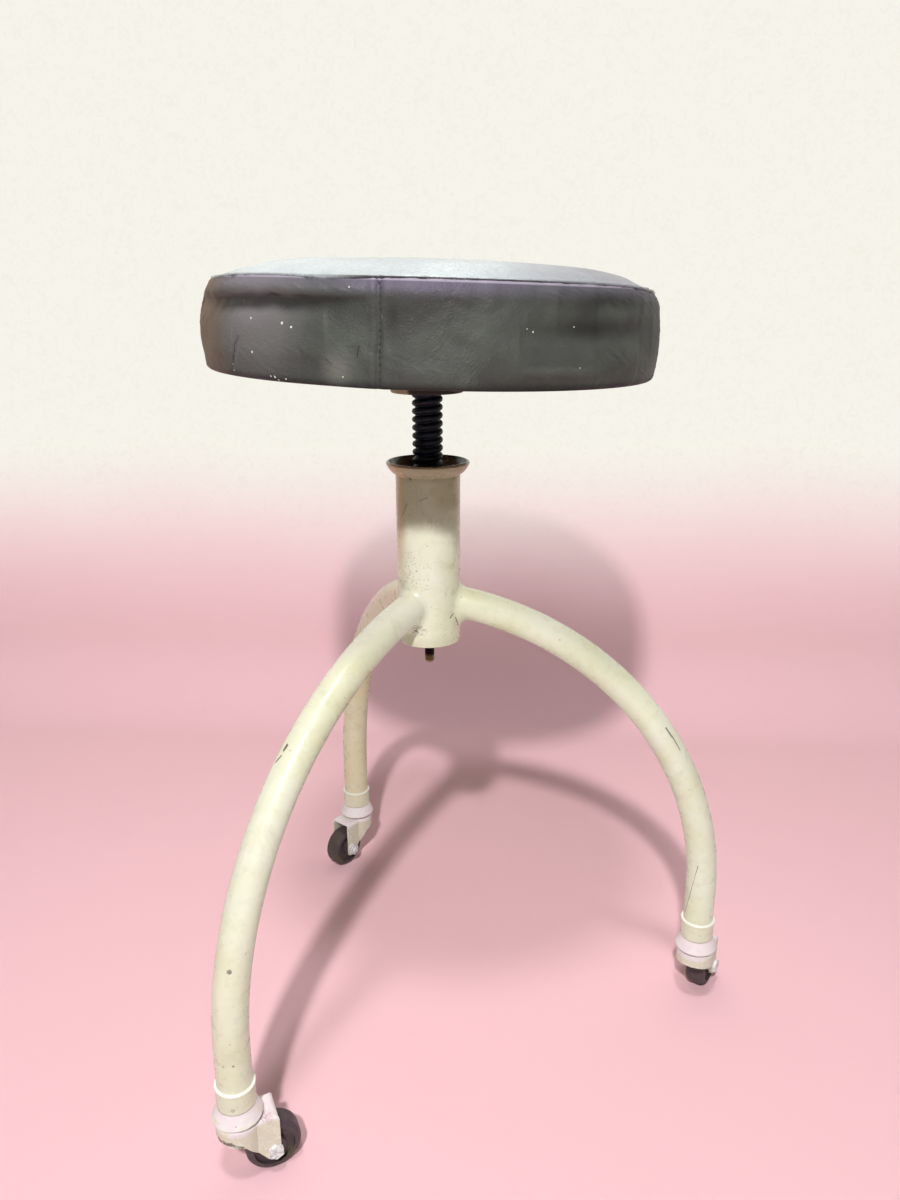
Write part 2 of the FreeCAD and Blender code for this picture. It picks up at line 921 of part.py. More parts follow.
def seat_hub():
    """The cast hub, bored for the spindle and faced off square to the leaning plate."""
    edge = s.hub_edge
    high = hub_top() + s.overrun
    blank = doc.addObject("PartDesign::Body", "hub_blank")
    sketch = sketch_in(blank, "XZ_Plane", "hub_profile")
    outline(sketch, [
        (s.screw_shank, hub_bottom()),
        (s.hub_boss_radius - edge, hub_bottom(), edge),
        (s.hub_boss_radius, hub_bottom() + edge),
        (s.hub_boss_radius, hub_top() - s.hub_flange - edge * 2),
        (s.hub_flange_radius, hub_top() - s.hub_flange),
        (s.hub_flange_radius, high),
        (0, high),
        (0, hub_bottom() + s.screw_seat),
        (s.screw_shank, hub_bottom() + s.screw_seat),
    ])
    revolve(blank, sketch)
    facing_radius = s.hub_flange_radius + s.seat_offset + s.overrun
    facing = cylinder("hub_facing", facing_radius, s.overrun * 3, seat_place())
    hub = doc.addObject("Part::Cut", "seat_hub")
    hub.Base = blank
    hub.Tool = facing
    return keep(hub, "seat_hub")


def holed_disc(label, radius, thickness, base):
    """A disc with the plate's ring of screw holes, lying from base upwards in the seat's frame."""
    body = new_body(label, seat_place())
    disc = sketch_in(body, "XY_Plane", label + "_disc", base)
    circle_at(disc, radius)
    pad(body, disc, thickness)
    hole = sketch_in(body, "XY_Plane", label + "_hole", base)
    circle_at(hole, s.wood_screw_radius, s.screw_circle)
    cut = pocket_through(body, hole)
    ring = body.newObject("PartDesign::PolarPattern", label + "_ring")
    ring.Originals = [cut]
    ring.Axis = (disc, ["N_Axis"])
    ring.Angle = 360
    bind(ring, "Occurrences", s.screw_count)
    body.Tip = ring
    return body


def plate_screws():
    """Wood screws up through the plate into the board, as one group."""
    screws = []
    count = int(s.screw_count.value)
    shank_length = s.plate_thickness + s.screw_bite
    for number in range(count):
        spot = turn_z(360.0 * number / count) * shift(x=s.screw_circle)
        shank = cylinder("screw_shank_%d" % number, s.wood_screw_radius, shank_length, spot)
        head = doc.addObject("Part::Cone", "screw_head_%d" % number)
        bind(head, "Radius1", s.wood_screw_radius)
        bind(head, "Radius2", s.screw_head_radius)
        bind(head, "Height", s.screw_head)
        head.Placement = spot * shift(z=-s.screw_head)
        screws.append(boolean("Part::MultiFuse", "wood_screw_%d" % number, shank, [head]))
    group = doc.addObject("Part::Compound", "plate_screws")
    group.Links = screws
    return keep(group, "plate_screws", seat_place())


def board_base():
    return s.plate_thickness


def band_foot_radius():
    """The band's outside where it folds in under the board."""
    return s.board_radius + s.board_gap + s.vinyl


def band_radius():
    return band_foot_radius() + s.band_bulge


def seam_radius():
    return band_radius() - s.seam_draw


def shoulder_radius():
    return seam_radius() - s.shoulder_width


def arc_over(rise, run):
    """Radius of an arc that sets out square and has drifted by rise once it has gone run."""
    return (rise * rise + run * run) / (rise * 2)


def seam_top():
    return board_base() + s.seam_height


def side_arcs():
    """Radii of the band's side, below and above its widest line."""
    below = s.band_mid_height + s.vinyl - s.hem_round
    above = s.seam_height - s.band_mid_height
    return (arc_over(band_radius() - band_foot_radius(), below),
            arc_over(band_radius() - seam_radius(), above))


def crown_arc():
    return arc_over(s.crown_height - s.crown_shoulder, shoulder_radius())


def seat_foam():
    """The crowned foam on the board, just inside the cover all round."""
    inset = s.vinyl + s.play
    top = seam_top() - inset
    return turned("seat_foam", [
        (0, board_base() + s.board_thickness),
        (s.board_radius, board_base() + s.board_thickness),
        (band_radius() - inset, board_base() + s.band_mid_height, side_arcs()[1]),
        (seam_radius() - inset, top, s.shoulder_round),
        (shoulder_radius(), top + s.crown_shoulder, crown_arc()),
        (0, top + s.crown_height),
    ], seat_place())


def cover_top():
    """The round top panel, domed over the foam, with the sewn edge standing up as a small roll."""
    top = seam_top()
    skin = s.vinyl
    return turned("cover_top", [
        (0, top + s.crown_height - skin, -crown_arc()),
        (shoulder_radius(), top + s.crown_shoulder - skin, -s.shoulder_round),
        (seam_radius() - skin, top),
        (seam_radius(), top, s.seam_ridge),
        (seam_radius() - skin, top + s.seam_ridge, s.shoulder_round),
        (shoulder_radius(), top + s.crown_shoulder, crown_arc()),
        (0, top + s.crown_height),
    ], seat_place())


def cover_band():
    """The side band, widest below its middle and drawn in at the seam, with its hem turned under."""
    base = board_base()
    skin = s.vinyl
    lower, upper = side_arcs()
    foot = base - skin + s.hem_round
    mid = base + s.band_mid_height
    hem = s.board_radius - s.hem_width
    return turned("cover_band", [
        (hem, base),
        (hem, base - skin),
        (band_foot_radius() - s.hem_round, base - skin, s.hem_round + s.running),
        (band_foot_radius(), foot, lower),
        (band_radius(), mid, upper),
        (seam_radius(), seam_top()),
        (seam_radius() - skin, seam_top(), -upper),
        (band_radius() - skin, mid, -lower),
        (band_foot_radius() - skin, foot),
        (band_foot_radius() - skin, base),
    ], seat_place())


def hem_staples():
    """The staples that hold the hem under the board, as one group."""
    staples = []
    count = int(s.staple_count.value)
    reach = s.board_radius - s.hem_width / 2
    for number in range(count):
        staple = doc.addObject("Part::Box", "staple_%d" % number)
        bind(staple, "Length", s.staple_wire)
        bind(staple, "Width", s.staple_width)
        bind(staple, "Height", s.staple_wire / 2)
        corner = shift(x=reach, y=-s.staple_width / 2, z=board_base() - s.vinyl - s.staple_wire / 2)
        staple.Placement = turn_z(360.0 * (number + 0.5) / count) * corner
        staples.append(staple)
    group = doc.addObject("Part::Compound", "hem_staples")
    group.Links = staples
    return keep(group, "hem_staples", seat_place())


def build():
    column_tube()
    lift_nut()
    leg_welds()
    for name, azimuth in LEG_ANGLES.items():
        leg_tube(name, azimuth)
        leg_ferrule(name, azimuth)
        caster_cup(name, azimuth)
        stem_socket(name, azimuth)
        caster_fork(name)
        caster_stem(name)
        race_balls(name)
        axle_bolt(name)
        axle_nut(name)
        caster_wheel(name)
        wheel_bush(name)
    lift_spindle()
    stop_stud()
    stop_washer()
    stop_nut()
    seat_hub()
    holed_disc("seat_plate", s.plate_radius, s.plate_thickness, as_size(0))
    plate_screws()
    holed_disc("seat_board", s.board_radius, s.board_thickness, board_base())
    seat_foam()
    cover_top()
    cover_band()
    hem_staples()


def check_and_write():
    """Stops on any failed object or bad shape, and writes one STEP file for each piece."""
    doc.recompute()
    for item in doc.Objects:
        if "Invalid" in item.State or "Error" in item.State:
            raise RuntimeError("%s didn't build: %s" % (item.Label, item.State))
    for piece in sub_parts:
        if piece.Shape.isNull() or not piece.Shape.isValid():
            raise RuntimeError("%s has a bad shape" % piece.Label)
    os.makedirs("parts", exist_ok=True)
    for piece in sub_parts:
        shape = piece.Shape
        shape.exportStep("parts/%s.step" % piece.Label)
        print("%-22s solids %2d  volume %10.1f" % (piece.Label, len(shape.Solids), shape.Volume))


build()
check_and_write()
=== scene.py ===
import math

import bpy
import numpy as np
from mathutils import Matrix, Vector
from mathutils.bvhtree import BVHTree


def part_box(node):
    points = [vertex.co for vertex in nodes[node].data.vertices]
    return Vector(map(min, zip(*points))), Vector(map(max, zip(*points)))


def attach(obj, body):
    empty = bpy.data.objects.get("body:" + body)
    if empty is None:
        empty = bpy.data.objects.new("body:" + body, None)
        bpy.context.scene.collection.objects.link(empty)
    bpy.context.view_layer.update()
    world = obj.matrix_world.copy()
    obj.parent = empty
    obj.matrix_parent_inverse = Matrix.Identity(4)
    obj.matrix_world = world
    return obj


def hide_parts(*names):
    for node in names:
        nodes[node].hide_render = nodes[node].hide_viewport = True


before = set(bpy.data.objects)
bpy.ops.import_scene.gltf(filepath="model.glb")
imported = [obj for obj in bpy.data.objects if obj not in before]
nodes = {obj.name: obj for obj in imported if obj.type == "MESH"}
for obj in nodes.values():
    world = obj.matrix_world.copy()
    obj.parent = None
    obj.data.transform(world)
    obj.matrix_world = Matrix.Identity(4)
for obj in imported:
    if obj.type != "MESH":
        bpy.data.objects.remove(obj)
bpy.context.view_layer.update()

# Lengths are in millimetres until a mesh, a light or the camera is made
MM = 0.001
TINY = 1e-9
scene = bpy.context.scene

# Camera, fitted to points measured in the photograph
PHOTO_WIDTH = 900
PHOTO_HEIGHT = 1200
FOCAL_PIXELS = 938.83
SENSOR = 36.0
CAMERA_PLACE = Vector((52.506, -702.828, 594.665)) * MM
CAMERA_YAW = math.radians(-2.934)
CAMERA_PITCH = math.radians(17.909)
CAMERA_ROLL = math.radians(-0.134)
CAMERA_NEAR = 0.01

forward = Vector((math.sin(CAMERA_YAW) * math.cos(CAMERA_PITCH),
                  math.cos(CAMERA_YAW) * math.cos(CAMERA_PITCH),
                  -math.sin(CAMERA_PITCH)))
level = Vector((math.cos(CAMERA_YAW), -math.sin(CAMERA_YAW), 0))
upright = level.cross(forward)
rightward = level * math.cos(CAMERA_ROLL) + upright * math.sin(CAMERA_ROLL)
upward = upright * math.cos(CAMERA_ROLL) - level * math.sin(CAMERA_ROLL)


def make_camera():
    data = bpy.data.cameras.new("photo_camera")
    data.sensor_fit = "VERTICAL"
    data.sensor_height = SENSOR
    data.lens = FOCAL_PIXELS / PHOTO_HEIGHT * SENSOR
    data.clip_start = CAMERA_NEAR
    camera = bpy.data.objects.new("photo_camera", data)
    turn = Matrix((rightward, upward, -forward)).transposed().to_4x4()
    camera.matrix_world = Matrix.Translation(CAMERA_PLACE) @ turn
    scene.collection.objects.link(camera)
    scene.camera = camera


make_camera()


def sight(px, py):
    """The direction from the camera through a pixel of the photograph."""
    way = rightward * (px - PHOTO_WIDTH / 2) + upward * (PHOTO_HEIGHT / 2 - py) + forward * FOCAL_PIXELS
    return way.normalized()


trees = {}


def tree_of(name):
    if name not in trees:
        mesh = nodes[name].data
        corners = [vertex.co for vertex in mesh.vertices]
        faces = [face.vertices for face in mesh.polygons]
        trees[name] = BVHTree.FromPolygons(corners, faces)
    return trees[name]


def on_node(name, px, py):
    """The point of a CAD node seen at a pixel, or the one nearest to that line of sight."""
    tree = tree_of(name)
    way = sight(px, py)
    hit = tree.ray_cast(CAMERA_PLACE, way)[0]
    if hit is None:
        low, high = (Vector(corner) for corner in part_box(name))
        reach = ((low + high) / 2 - CAMERA_PLACE).dot(way)
        hit = tree.find_nearest(CAMERA_PLACE + way * reach)[0]
    return hit


# Meshes


def mesh_object(name, points, faces, body, material):
    """A smooth piece from points in millimetres, which rides on a body."""
    mesh = bpy.data.meshes.new(name)
    mesh.from_pydata([tuple(point) for point in np.asarray(points) * MM], [], faces)
    mesh.validate()
    mesh.polygons.foreach_set("use_smooth", [True] * len(mesh.polygons))
    mesh.materials.append(material)
    piece = bpy.data.objects.new(name, mesh)
    scene.collection.objects.link(piece)
    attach(piece, body)
    return piece


def ring_faces(rows, columns, closed_rows=False, first=0):
    """Quads between rings of points, each ring closed on itself."""
    faces = []
    for row in range(rows if closed_rows else rows - 1):
        here = first + row * columns
        there = first + ((row + 1) % rows) * columns
        for column in range(columns):
            after = (column + 1) % columns
            faces.append((here + column, here + after, there + after, there + column))
    return faces


def capped(rings):
    """Points and faces of a rod through rings, closed at both ends with a fan."""
    rows, columns = rings.shape[:2]
    points = rings.reshape(-1, 3)
    faces = ring_faces(rows, columns)
    low, high = len(points), len(points) + 1
    last = (rows - 1) * columns
    for column in range(columns):
        after = (column + 1) % columns
        faces.append((low, after, column))
        faces.append((high, last + column, last + after))
    ends = [rings[0].mean(axis=0), rings[-1].mean(axis=0)]
    return np.vstack([points, ends]), faces


def arc_points(start, end, radius, count):
    """Points along a counter-clockwise arc in a profile, without its last one."""
    start, end = np.array(start, float), np.array(end, float)
    chord = end - start
    half = np.hypot(*chord) / 2
    left = np.array([-chord[1], chord[0]]) / (2 * half)
    centre = (start + end) / 2 + left * math.sqrt(max(radius * radius - half * half, 0))
    first = math.atan2(*(start - centre)[::-1])
    last = math.atan2(*(end - centre)[::-1])
    if last < first:
        last += 2 * math.pi
    angles = np.linspace(first, last, count, endpoint=False)
    return centre + radius * np.c_[np.cos(angles), np.sin(angles)]


def line_points(start, end, count):
    share = np.linspace(0, 1, count, endpoint=False)[:, None]
    return np.array(start, float) * (1 - share) + np.array(end, float) * share


def round_angles(count):
    return np.linspace(0, 2 * math.pi, count, endpoint=False)


def around_axis(radius, turn, z):
    """Points at radii, angles and heights round the vertical axis."""
    return np.stack([radius * np.cos(turn), radius * np.sin(turn), z], axis=-1)


def revolve(profile, columns):
    """Rings of points from a profile of radii and heights, with shape (rows, columns, 3)."""
    turn = round_angles(columns)
    return around_axis(profile[:, 0][:, None], turn, profile[:, 1][:, None] + 0 * turn)


def smooth_step(low, high, value):
    share = np.clip((value - low) / (high - low), 0, 1)
    return share * share * (3 - 2 * share)


def bell(gap, width):
    """1 in the middle, fading away smoothly on both sides."""
    return np.exp(-(gap / width) ** 2)


def ripple(angles, counts, seed):
    """A smooth wave round a circle, of the given numbers of waves, between about -1 and 1."""
    source = np.random.RandomState(seed)
    total = np.zeros_like(angles)
    for count in counts:
        total = total + source.uniform(0.5, 1) * np.sin(count * angles + source.uniform(0, 2 * math.pi))
    return total / math.sqrt(len(counts))


# Materials


def srgb(red, green, blue):
    shares = [value / 255 for value in (red, green, blue)]
    return tuple(s / 12.92 if s <= 0.04045 else ((s + 0.055) / 1.055) ** 2.4 for s in shares) + (1.0,)


# How torn the edge of a chip or scratch is, as shares of its radius
TEAR_SHARE = 0.9
TEAR_REACH_SHARE = 1.5
TEAR_SOFT_SHARE = 0.75
WANDER_DETAIL = 4.0


class Paint:
    """A material whose nodes are added one call at a time. Sizes and heights are in millimetres."""

    def __init__(self, name, **constants):
        self.material = bpy.data.materials.new(name)
        self.material.use_nodes = True
        self.tree = self.material.node_tree
        self.shader = self.tree.nodes["Principled BSDF"]
        self.place = self.add("ShaderNodeTexCoord").outputs["Object"]
        self.colour = None
        for key, value in constants.items():
            self.set(key.replace("_", " ").title().replace("Ior", "IOR"), value)

    def add(self, kind, **settings):
        node = self.tree.nodes.new(kind)
        for key, value in settings.items():
            setattr(node, key, value)
        return node

    def feed(self, socket, value):
        if isinstance(value, bpy.types.NodeSocket):
            self.tree.links.new(value, socket)
        else:
            socket.default_value = value

    def put(self, kind, out, values, **settings):
        """An output of a new node whose inputs are fed with values, by name or number."""
        node = self.add(kind, **settings)
        for key, value in values.items():
            self.feed(node.inputs[key], value)
        return node.outputs[out]

    def set(self, name, value):
        self.feed(self.shader.inputs[name], value)

    def math(self, operation, *values, clamp=False):
        return self.put("ShaderNodeMath", 0, dict(enumerate(values)), operation=operation, use_clamp=clamp)

    def plus(self, first, second):
        return self.math("ADD", first, second)

    def minus(self, first, second):
        return self.math("SUBTRACT", first, second)

    def times(self, first, second):
        return self.math("MULTIPLY", first, second)

    def scale_add(self, value, scale, more):
        return self.math("MULTIPLY_ADD", value, scale, more)

    def most(self, first, *masks):
        """The strongest of several masks."""
        for mask in masks:
            first = self.math("MAXIMUM", first, mask)
        return first

    def vector(self, operation, first, second=(0, 0, 0)):
        number = operation in ("DISTANCE", "DOT_PRODUCT", "LENGTH")
        return self.put("ShaderNodeVectorMath", "Value" if number else "Vector", {0: first, 1: second},
                        operation=operation)

    def scaled(self, way, share):
        return self.put("ShaderNodeVectorMath", "Vector", {0: way, "Scale": share}, operation="SCALE")

    def noise(self, size, detail=3.0, rough=0.55, twist=0.0, place=None, out="Fac"):
        """Noise from 0 to 1 whose blotches are about this size across."""
        return self.put("ShaderNodeTexNoise", out, {
            "Vector": self.place if place is None else place, "Scale": 1 / (size * MM), "Detail": detail,
            "Roughness": rough, "Distortion": twist})

    def cells(self, size, feature="F1", place=None):
        return self.put("ShaderNodeTexVoronoi", "Distance", {
            "Vector": self.place if place is None else place, "Scale": 1 / (size * MM)}, feature=feature)

    def step(self, value, low, high):
        """0 below low, 1 above high and smooth between, or the other way round if low is over high."""
        return self.put("ShaderNodeMapRange", "Result", {"Value": value, "From Min": low, "From Max": high},
                        interpolation_type="SMOOTHSTEP")

    def climb(self, length, low, high):
        """The same for a length, with both bounds in millimetres."""
        return self.step(length, low * MM, high * MM)

    def patches(self, low, high, *noise):
        """The same for noise: patches where it is over the bounds."""
        return self.step(self.noise(*noise), low, high)

    def mix(self, share, first, second):
        return self.put("ShaderNodeMix", 2, {"Factor": share, 6: first, 7: second}, data_type="RGBA")

    def blend(self, share, first, second):
        """The same for plain numbers."""
        return self.put("ShaderNodeMix", 0, {0: share, 2: first, 3: second}, data_type="FLOAT")

    def lay(self, colour, mask, share=None):
        """Lay a colour over those before it, where a mask says and by a share."""
        mask = mask if share is None else self.times(mask, share)
        self.colour = self.mix(mask, self.colour, colour)

    def axis(self, name):
        return self.put("ShaderNodeSeparateXYZ", name, {0: self.place})

    def bump(self, height, depth):
        """Relief of the given depth."""
        self.set("Normal", self.put("ShaderNodeBump", "Normal", {
            "Strength": 1.0, "Distance": depth * MM, "Height": height}))

    def wander(self, size, reach):
        """Noise centred on nought, over a span of about this reach."""
        return self.scale_add(self.noise(size, WANDER_DETAIL), reach * MM, -reach * MM / 2)

    def ragged(self, gap, radius):
        """1 nearer than a radius, with a torn edge."""
        tear = self.wander(max(radius, 1.0) * TEAR_SHARE, radius * TEAR_REACH_SHARE)
        return self.climb(self.plus(gap, tear), radius, radius * TEAR_SOFT_SHARE)

    def spot(self, centre, radius):
        return self.ragged(self.vector("DISTANCE", self.place, tuple(centre)), radius)

    def streak(self, start, end, radius):
        """1 along a scratch between two points."""
        line = end - start
        offset = self.vector("SUBTRACT", self.place, tuple(start))
        along = self.math("DIVIDE", self.vector("DOT_PRODUCT", offset, tuple(line)),
                          max(line.length_squared, TINY), clamp=True)
        nearest = self.scaled(tuple(line), along)
        return self.ragged(self.vector("DISTANCE", offset, nearest), radius)

    def smear(self, node, px, py, reach):
        """1 at a node's place seen at a pixel, fading softly to 0 at the reach."""
        gap = self.vector("DISTANCE", self.place, tuple(on_node(node, px, py)))
        return self.climb(gap, reach, 0)

    def marks(self, marks):
        """One mask of chips and scratches seen in the photograph.

        A node's chip is (x, y, radius) and its scratch (x, y, x2, y2, radius), in pixels and millimetres.
        """
        masks = []
        for node, places in marks.items():
            for *place, radius in places:
                points = [on_node(node, *pixel) for pixel in zip(place[::2], place[1::2])]
                masks.append((self.streak if len(points) > 1 else self.spot)(*points, radius))
        return self.most(*masks)

    def done(self):
        self.set("Base Color", self.colour)
        return self.material


def dress(material, *names):
    for name in names:
        slots = nodes[name].material_slots
        if not slots:
            nodes[name].data.materials.append(material)
        for slot in slots:
            slot.material = material


LEGS = ("right", "rear", "front")

# Old cream enamel on the column, the welds and the legs
CREAM = srgb(232, 233, 205)
CREAM_PALE = srgb(240, 240, 222)
CREAM_YELLOW = srgb(222, 217, 172)
CREAM_ROSE_REFLECTION = srgb(240, 230, 228)
CREAM_WHITE = srgb(250, 250, 242)
GRIME = srgb(120, 106, 74)
FOOT_GRIME = srgb(150, 132, 92)
BARE_BROWN = srgb(84, 64, 50)
GREASE_BROWN = srgb(20, 15, 12)
STAIN_AND_SHADE_BROWN = srgb(148, 120, 86)
WARM_TINT_AND_SHADE = srgb(214, 176, 124)

COLUMN_CHIPS = {
    "column_tube": [
        (420, 500.5, 428, 497.5, 0.35), (410, 479, 1.3), (396, 474, 404, 475, 0.8),
        (404, 475, 411, 478.5, 0.7), (407, 504, 403, 514, 0.4), (403, 514, 398, 528, 0.4),
        (401, 580, 413, 596, 0.35), (404, 590, 416, 601, 0.3), (461, 598, 0.5), (445, 635, 0.4),
        (452, 633, 0.4), (457, 636, 0.4), (450, 618, 453, 614, 0.6), (456, 621, 459, 616, 0.6),
        (458, 625, 463, 619, 0.6), (427, 546, 0.4)],
    "leg_welds": [(461.5, 597.5, 0.6)],
}
COLUMN_SPECKLES = ("column_tube", 411, 572, 26.0)
CROTCH = ("column_tube", 418, 630, 9.0)
LEG_CHIPS = {
    "leg_tube_front": [
        (229, 972, 1.9), (284, 750, 287, 745, 1.3), (276, 762, 281, 756, 0.7), (233, 1120, 0.9),
        (223, 1067, 0.6), (230, 1045, 0.4)],
    "leg_tube_right": [
        (666, 728, 672, 737, 0.8), (672, 736, 680, 750, 0.5), (698, 866, 689, 898, 0.3),
        (689, 898, 685, 912, 0.3), (560, 640, 0.5)],
    "leg_ferrule_front": [(223, 1082, 0.6), (244.6, 1102, 0.6), (237, 1108, 0.5), (233, 1111, 1.8)],
    "leg_ferrule_right": [(700, 936, 0.6)],
}
REAR_CHIPS = {"leg_tube_rear": [(352, 775, 0.6)], "leg_ferrule_rear": [(356, 806, 0.5)]}


def enamel(name, chips, worn_share):
    paint = Paint(name, roughness=0.3, coat_weight=0.35, coat_roughness=0.12)
    cloud = paint.noise(70, 4.0, 0.6, 0.4)
    fine = paint.noise(9, 5.0, 0.65)
    paint.colour = paint.mix(paint.step(cloud, 0.42, 0.66), CREAM, CREAM_PALE)
    paint.lay(CREAM_YELLOW, paint.step(cloud, 0.48, 0.3), 0.6)
    paint.lay(GRIME, paint.patches(0.56, 0.74, 24, 4.0, 0.65, 1.0), worn_share)
    specks = paint.times(paint.patches(0.74, 0.78, 2.6, 2.0, 0.5), paint.patches(0.52, 0.64, 30, 2.0))
    paint.lay(BARE_BROWN, specks, 0.7)
    chipped = paint.marks(chips)
    paint.lay(BARE_BROWN, chipped, 0.85)
    paint.set("Roughness", paint.blend(chipped, paint.step(fine, -0.6, 2.4), 0.75))
    relief = paint.plus(paint.noise(14, 2.0, 0.45), paint.times(fine, 0.18))
    paint.bump(paint.minus(relief, paint.times(chipped, 0.5)), 0.22)
    return paint


# The column's heights, and the middle of its flared wall: radius at the neck and how far it spreads
RIM_TOP = 477.5
COLUMN_FOOT = 335.5
BORE_RADIUS = 22.0
NECK_HEIGHT = 468.5
NECK_RADIUS = 24.2
FLARE_SPREAD = 6.4
# Spans, each from where a tint sets in to where it is full: heights, and places to the left
STAIN_AND_SHADE_RISE = (418, 452)
STAIN_AND_SHADE_DEEPER = (462, 470)
WARM_RISE = (370, 440)
WARM_LEFT = (-13, -20)
GRIME_FALL = (COLUMN_FOOT + 24, COLUMN_FOOT - 12)


def column_enamel():
    """The enamel with the upper end browned by stain and by painted shade of the seat, the greasy mouth and
    grime at the foot.
    """
    paint = enamel("column_enamel", COLUMN_CHIPS, 0.3)
    height = paint.axis("Z")
    uneven = paint.plus(height, paint.wander(16, 40))
    # stain on the upper end, darkened further as painted shade of the seat, most at the top under the seat
    deeper = paint.blend(paint.climb(height, *STAIN_AND_SHADE_DEEPER), 0.5, 0.75)
    paint.lay(STAIN_AND_SHADE_BROWN, paint.times(paint.climb(uneven, *STAIN_AND_SHADE_RISE), deeper))
    left = paint.times(paint.climb(paint.axis("X"), *WARM_LEFT), paint.climb(height, *WARM_RISE))
    paint.lay(WARM_TINT_AND_SHADE, left, 0.6)
    paint.lay(GRIME, paint.times(paint.smear(*COLUMN_SPECKLES), paint.patches(0.58, 0.66, 1.5, 3.0, 0.6)))
    paint.lay(BARE_BROWN, paint.times(paint.smear(*CROTCH), paint.patches(0.45, 0.6, 3, 4.0, 0.65)))
    paint.lay(FOOT_GRIME, paint.climb(uneven, *GRIME_FALL), 0.3)
    radius = paint.vector("LENGTH", paint.vector("MULTIPLY", paint.place, (1, 1, 0)))
    rise = paint.math("DIVIDE", paint.minus(height, NECK_HEIGHT * MM), (RIM_TOP - NECK_HEIGHT) * MM,
                      clamp=True)
    wall = paint.scale_add(paint.math("SQRT", rise), FLARE_SPREAD * MM, NECK_RADIUS * MM)
    from_wall = paint.minus(paint.plus(radius, paint.wander(4, 3.2)), wall)
    mouth = paint.times(paint.climb(from_wall, 0.4, -0.4),
                        paint.climb(height, NECK_HEIGHT - 1, NECK_HEIGHT))
    paint.lay(GREASE_BROWN, paint.most(mouth, paint.climb(radius, BORE_RADIUS + 1.4, BORE_RADIUS + 0.8)))
    return paint.done()


FERRULE_BEIGE = srgb(232, 228, 206)
FERRULE_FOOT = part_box("leg_ferrule_front")[0][2] / MM
BEAD_TOP = 80.4
BEAD_FOOT = 78.6
FLOOR_REFLECTION_FALL = (380, 60)


def leg_enamel(name, chips, painted_shade_share):
    """The enamel, with a painted rosy reflection of the floor that grows towards it, and a painted white
    highlight along the ferrule's bead.
    """
    paint = enamel(name, chips, 0.12)
    height = paint.axis("Z")
    # painted reflection of the pink floor: rosy patches that grow towards the floor
    floor_reflection = paint.times(paint.climb(height, *FLOOR_REFLECTION_FALL), 0.3)
    paint.lay(CREAM_ROSE_REFLECTION, paint.times(floor_reflection, paint.patches(0.3, 0.7, 90, 2.0)))
    # painted shade: a warm brown laid over the whole leg by a share, for a leg that lies in the seat's
    # shade
    paint.lay(WARM_TINT_AND_SHADE, painted_shade_share)
    paint.lay(FERRULE_BEIGE, paint.climb(height, BEAD_FOOT, BEAD_FOOT - 1.5), 0.6)
    joint = paint.climb(paint.plus(height, paint.wander(5, 0.8)), FERRULE_FOOT + 0.9, FERRULE_FOOT + 0.3)
    paint.lay(BARE_BROWN, joint, 0.6)
    # painted highlight: a white line along the top of the ferrule's bead
    paint.lay(CREAM_WHITE, paint.times(paint.climb(height, BEAD_TOP + 0.2, BEAD_TOP),
                                       paint.climb(height, BEAD_FOOT - 0.1, BEAD_FOOT + 0.3)))
    return paint.done()


RUST = srgb(120, 74, 40)
CASTER_PALE = srgb(248, 240, 240)
CASTER_ROSE = srgb(246, 230, 238)
CASTER_YELLOW = srgb(236, 228, 196)
CASTER_BEIGE = srgb(222, 212, 188)
CASTER_STAIN = srgb(176, 140, 112)
SMUDGE_ROSE = srgb(190, 142, 154)
FORK_SMUDGE = ("caster_fork_front", 266, 1116, 8.0)
FORK_SHADE = {"caster_fork_front": [(219, 1139, 231, 1145, 1.8), (231, 1145, 243, 1148, 1.4)]}
CASTER_CHIPS = {
    "caster_fork_front": [(283, 1158, 0.7)], "caster_cup_front": [(236, 1127, 0.5)],
    "caster_fork_right": [(708, 969, 0.8)], "caster_fork_rear": [(351, 850, 1.1), (349, 831, 0.7)],
}
FORK_PLATE = 50.0


def caster_enamel():
    """Rosy white on the cup and the fork's plate, yellower in patches and beige down the arms."""
    paint = Paint("caster_enamel", coat_weight=0.2, coat_roughness=0.2)
    cloud = paint.noise(16, 4.0, 0.6, 0.6)
    paint.colour = paint.mix(paint.step(cloud, 0.4, 0.62), CASTER_PALE, CASTER_ROSE)
    paint.lay(CASTER_YELLOW, paint.step(cloud, 0.42, 0.28))
    arms = paint.climb(paint.plus(paint.axis("Z"), paint.wander(6, 5)), FORK_PLATE - 2, FORK_PLATE - 6)
    paint.lay(CASTER_BEIGE, arms, 0.8)
    stain = paint.times(paint.patches(0.62, 0.78, 5, 5.0, 0.7, 1.2), paint.scale_add(arms, 0.12, 0.12))
    paint.lay(CASTER_STAIN, stain)
    paint.lay(SMUDGE_ROSE, paint.times(paint.smear(*FORK_SMUDGE), paint.patches(0.4, 0.62, 1.6, 4.0, 0.7)))
    paint.lay(BARE_BROWN, paint.marks(FORK_SHADE), 0.85)
    chipped = paint.marks(CASTER_CHIPS)
    paint.lay(BARE_BROWN, chipped, 0.8)
    edge = paint.add("ShaderNodeNewGeometry").outputs["Pointiness"]
    paint.lay(CREAM_WHITE, paint.times(paint.step(edge, 0.53, 0.6), paint.patches(0.45, 0.62, 3, 4.0)), 0.4)
    paint.set("Roughness", paint.blend(paint.most(chipped, stain), 0.36, 0.75))
    paint.bump(paint.plus(paint.noise(7), paint.noise(1.6)), 0.22)
    return paint.done()


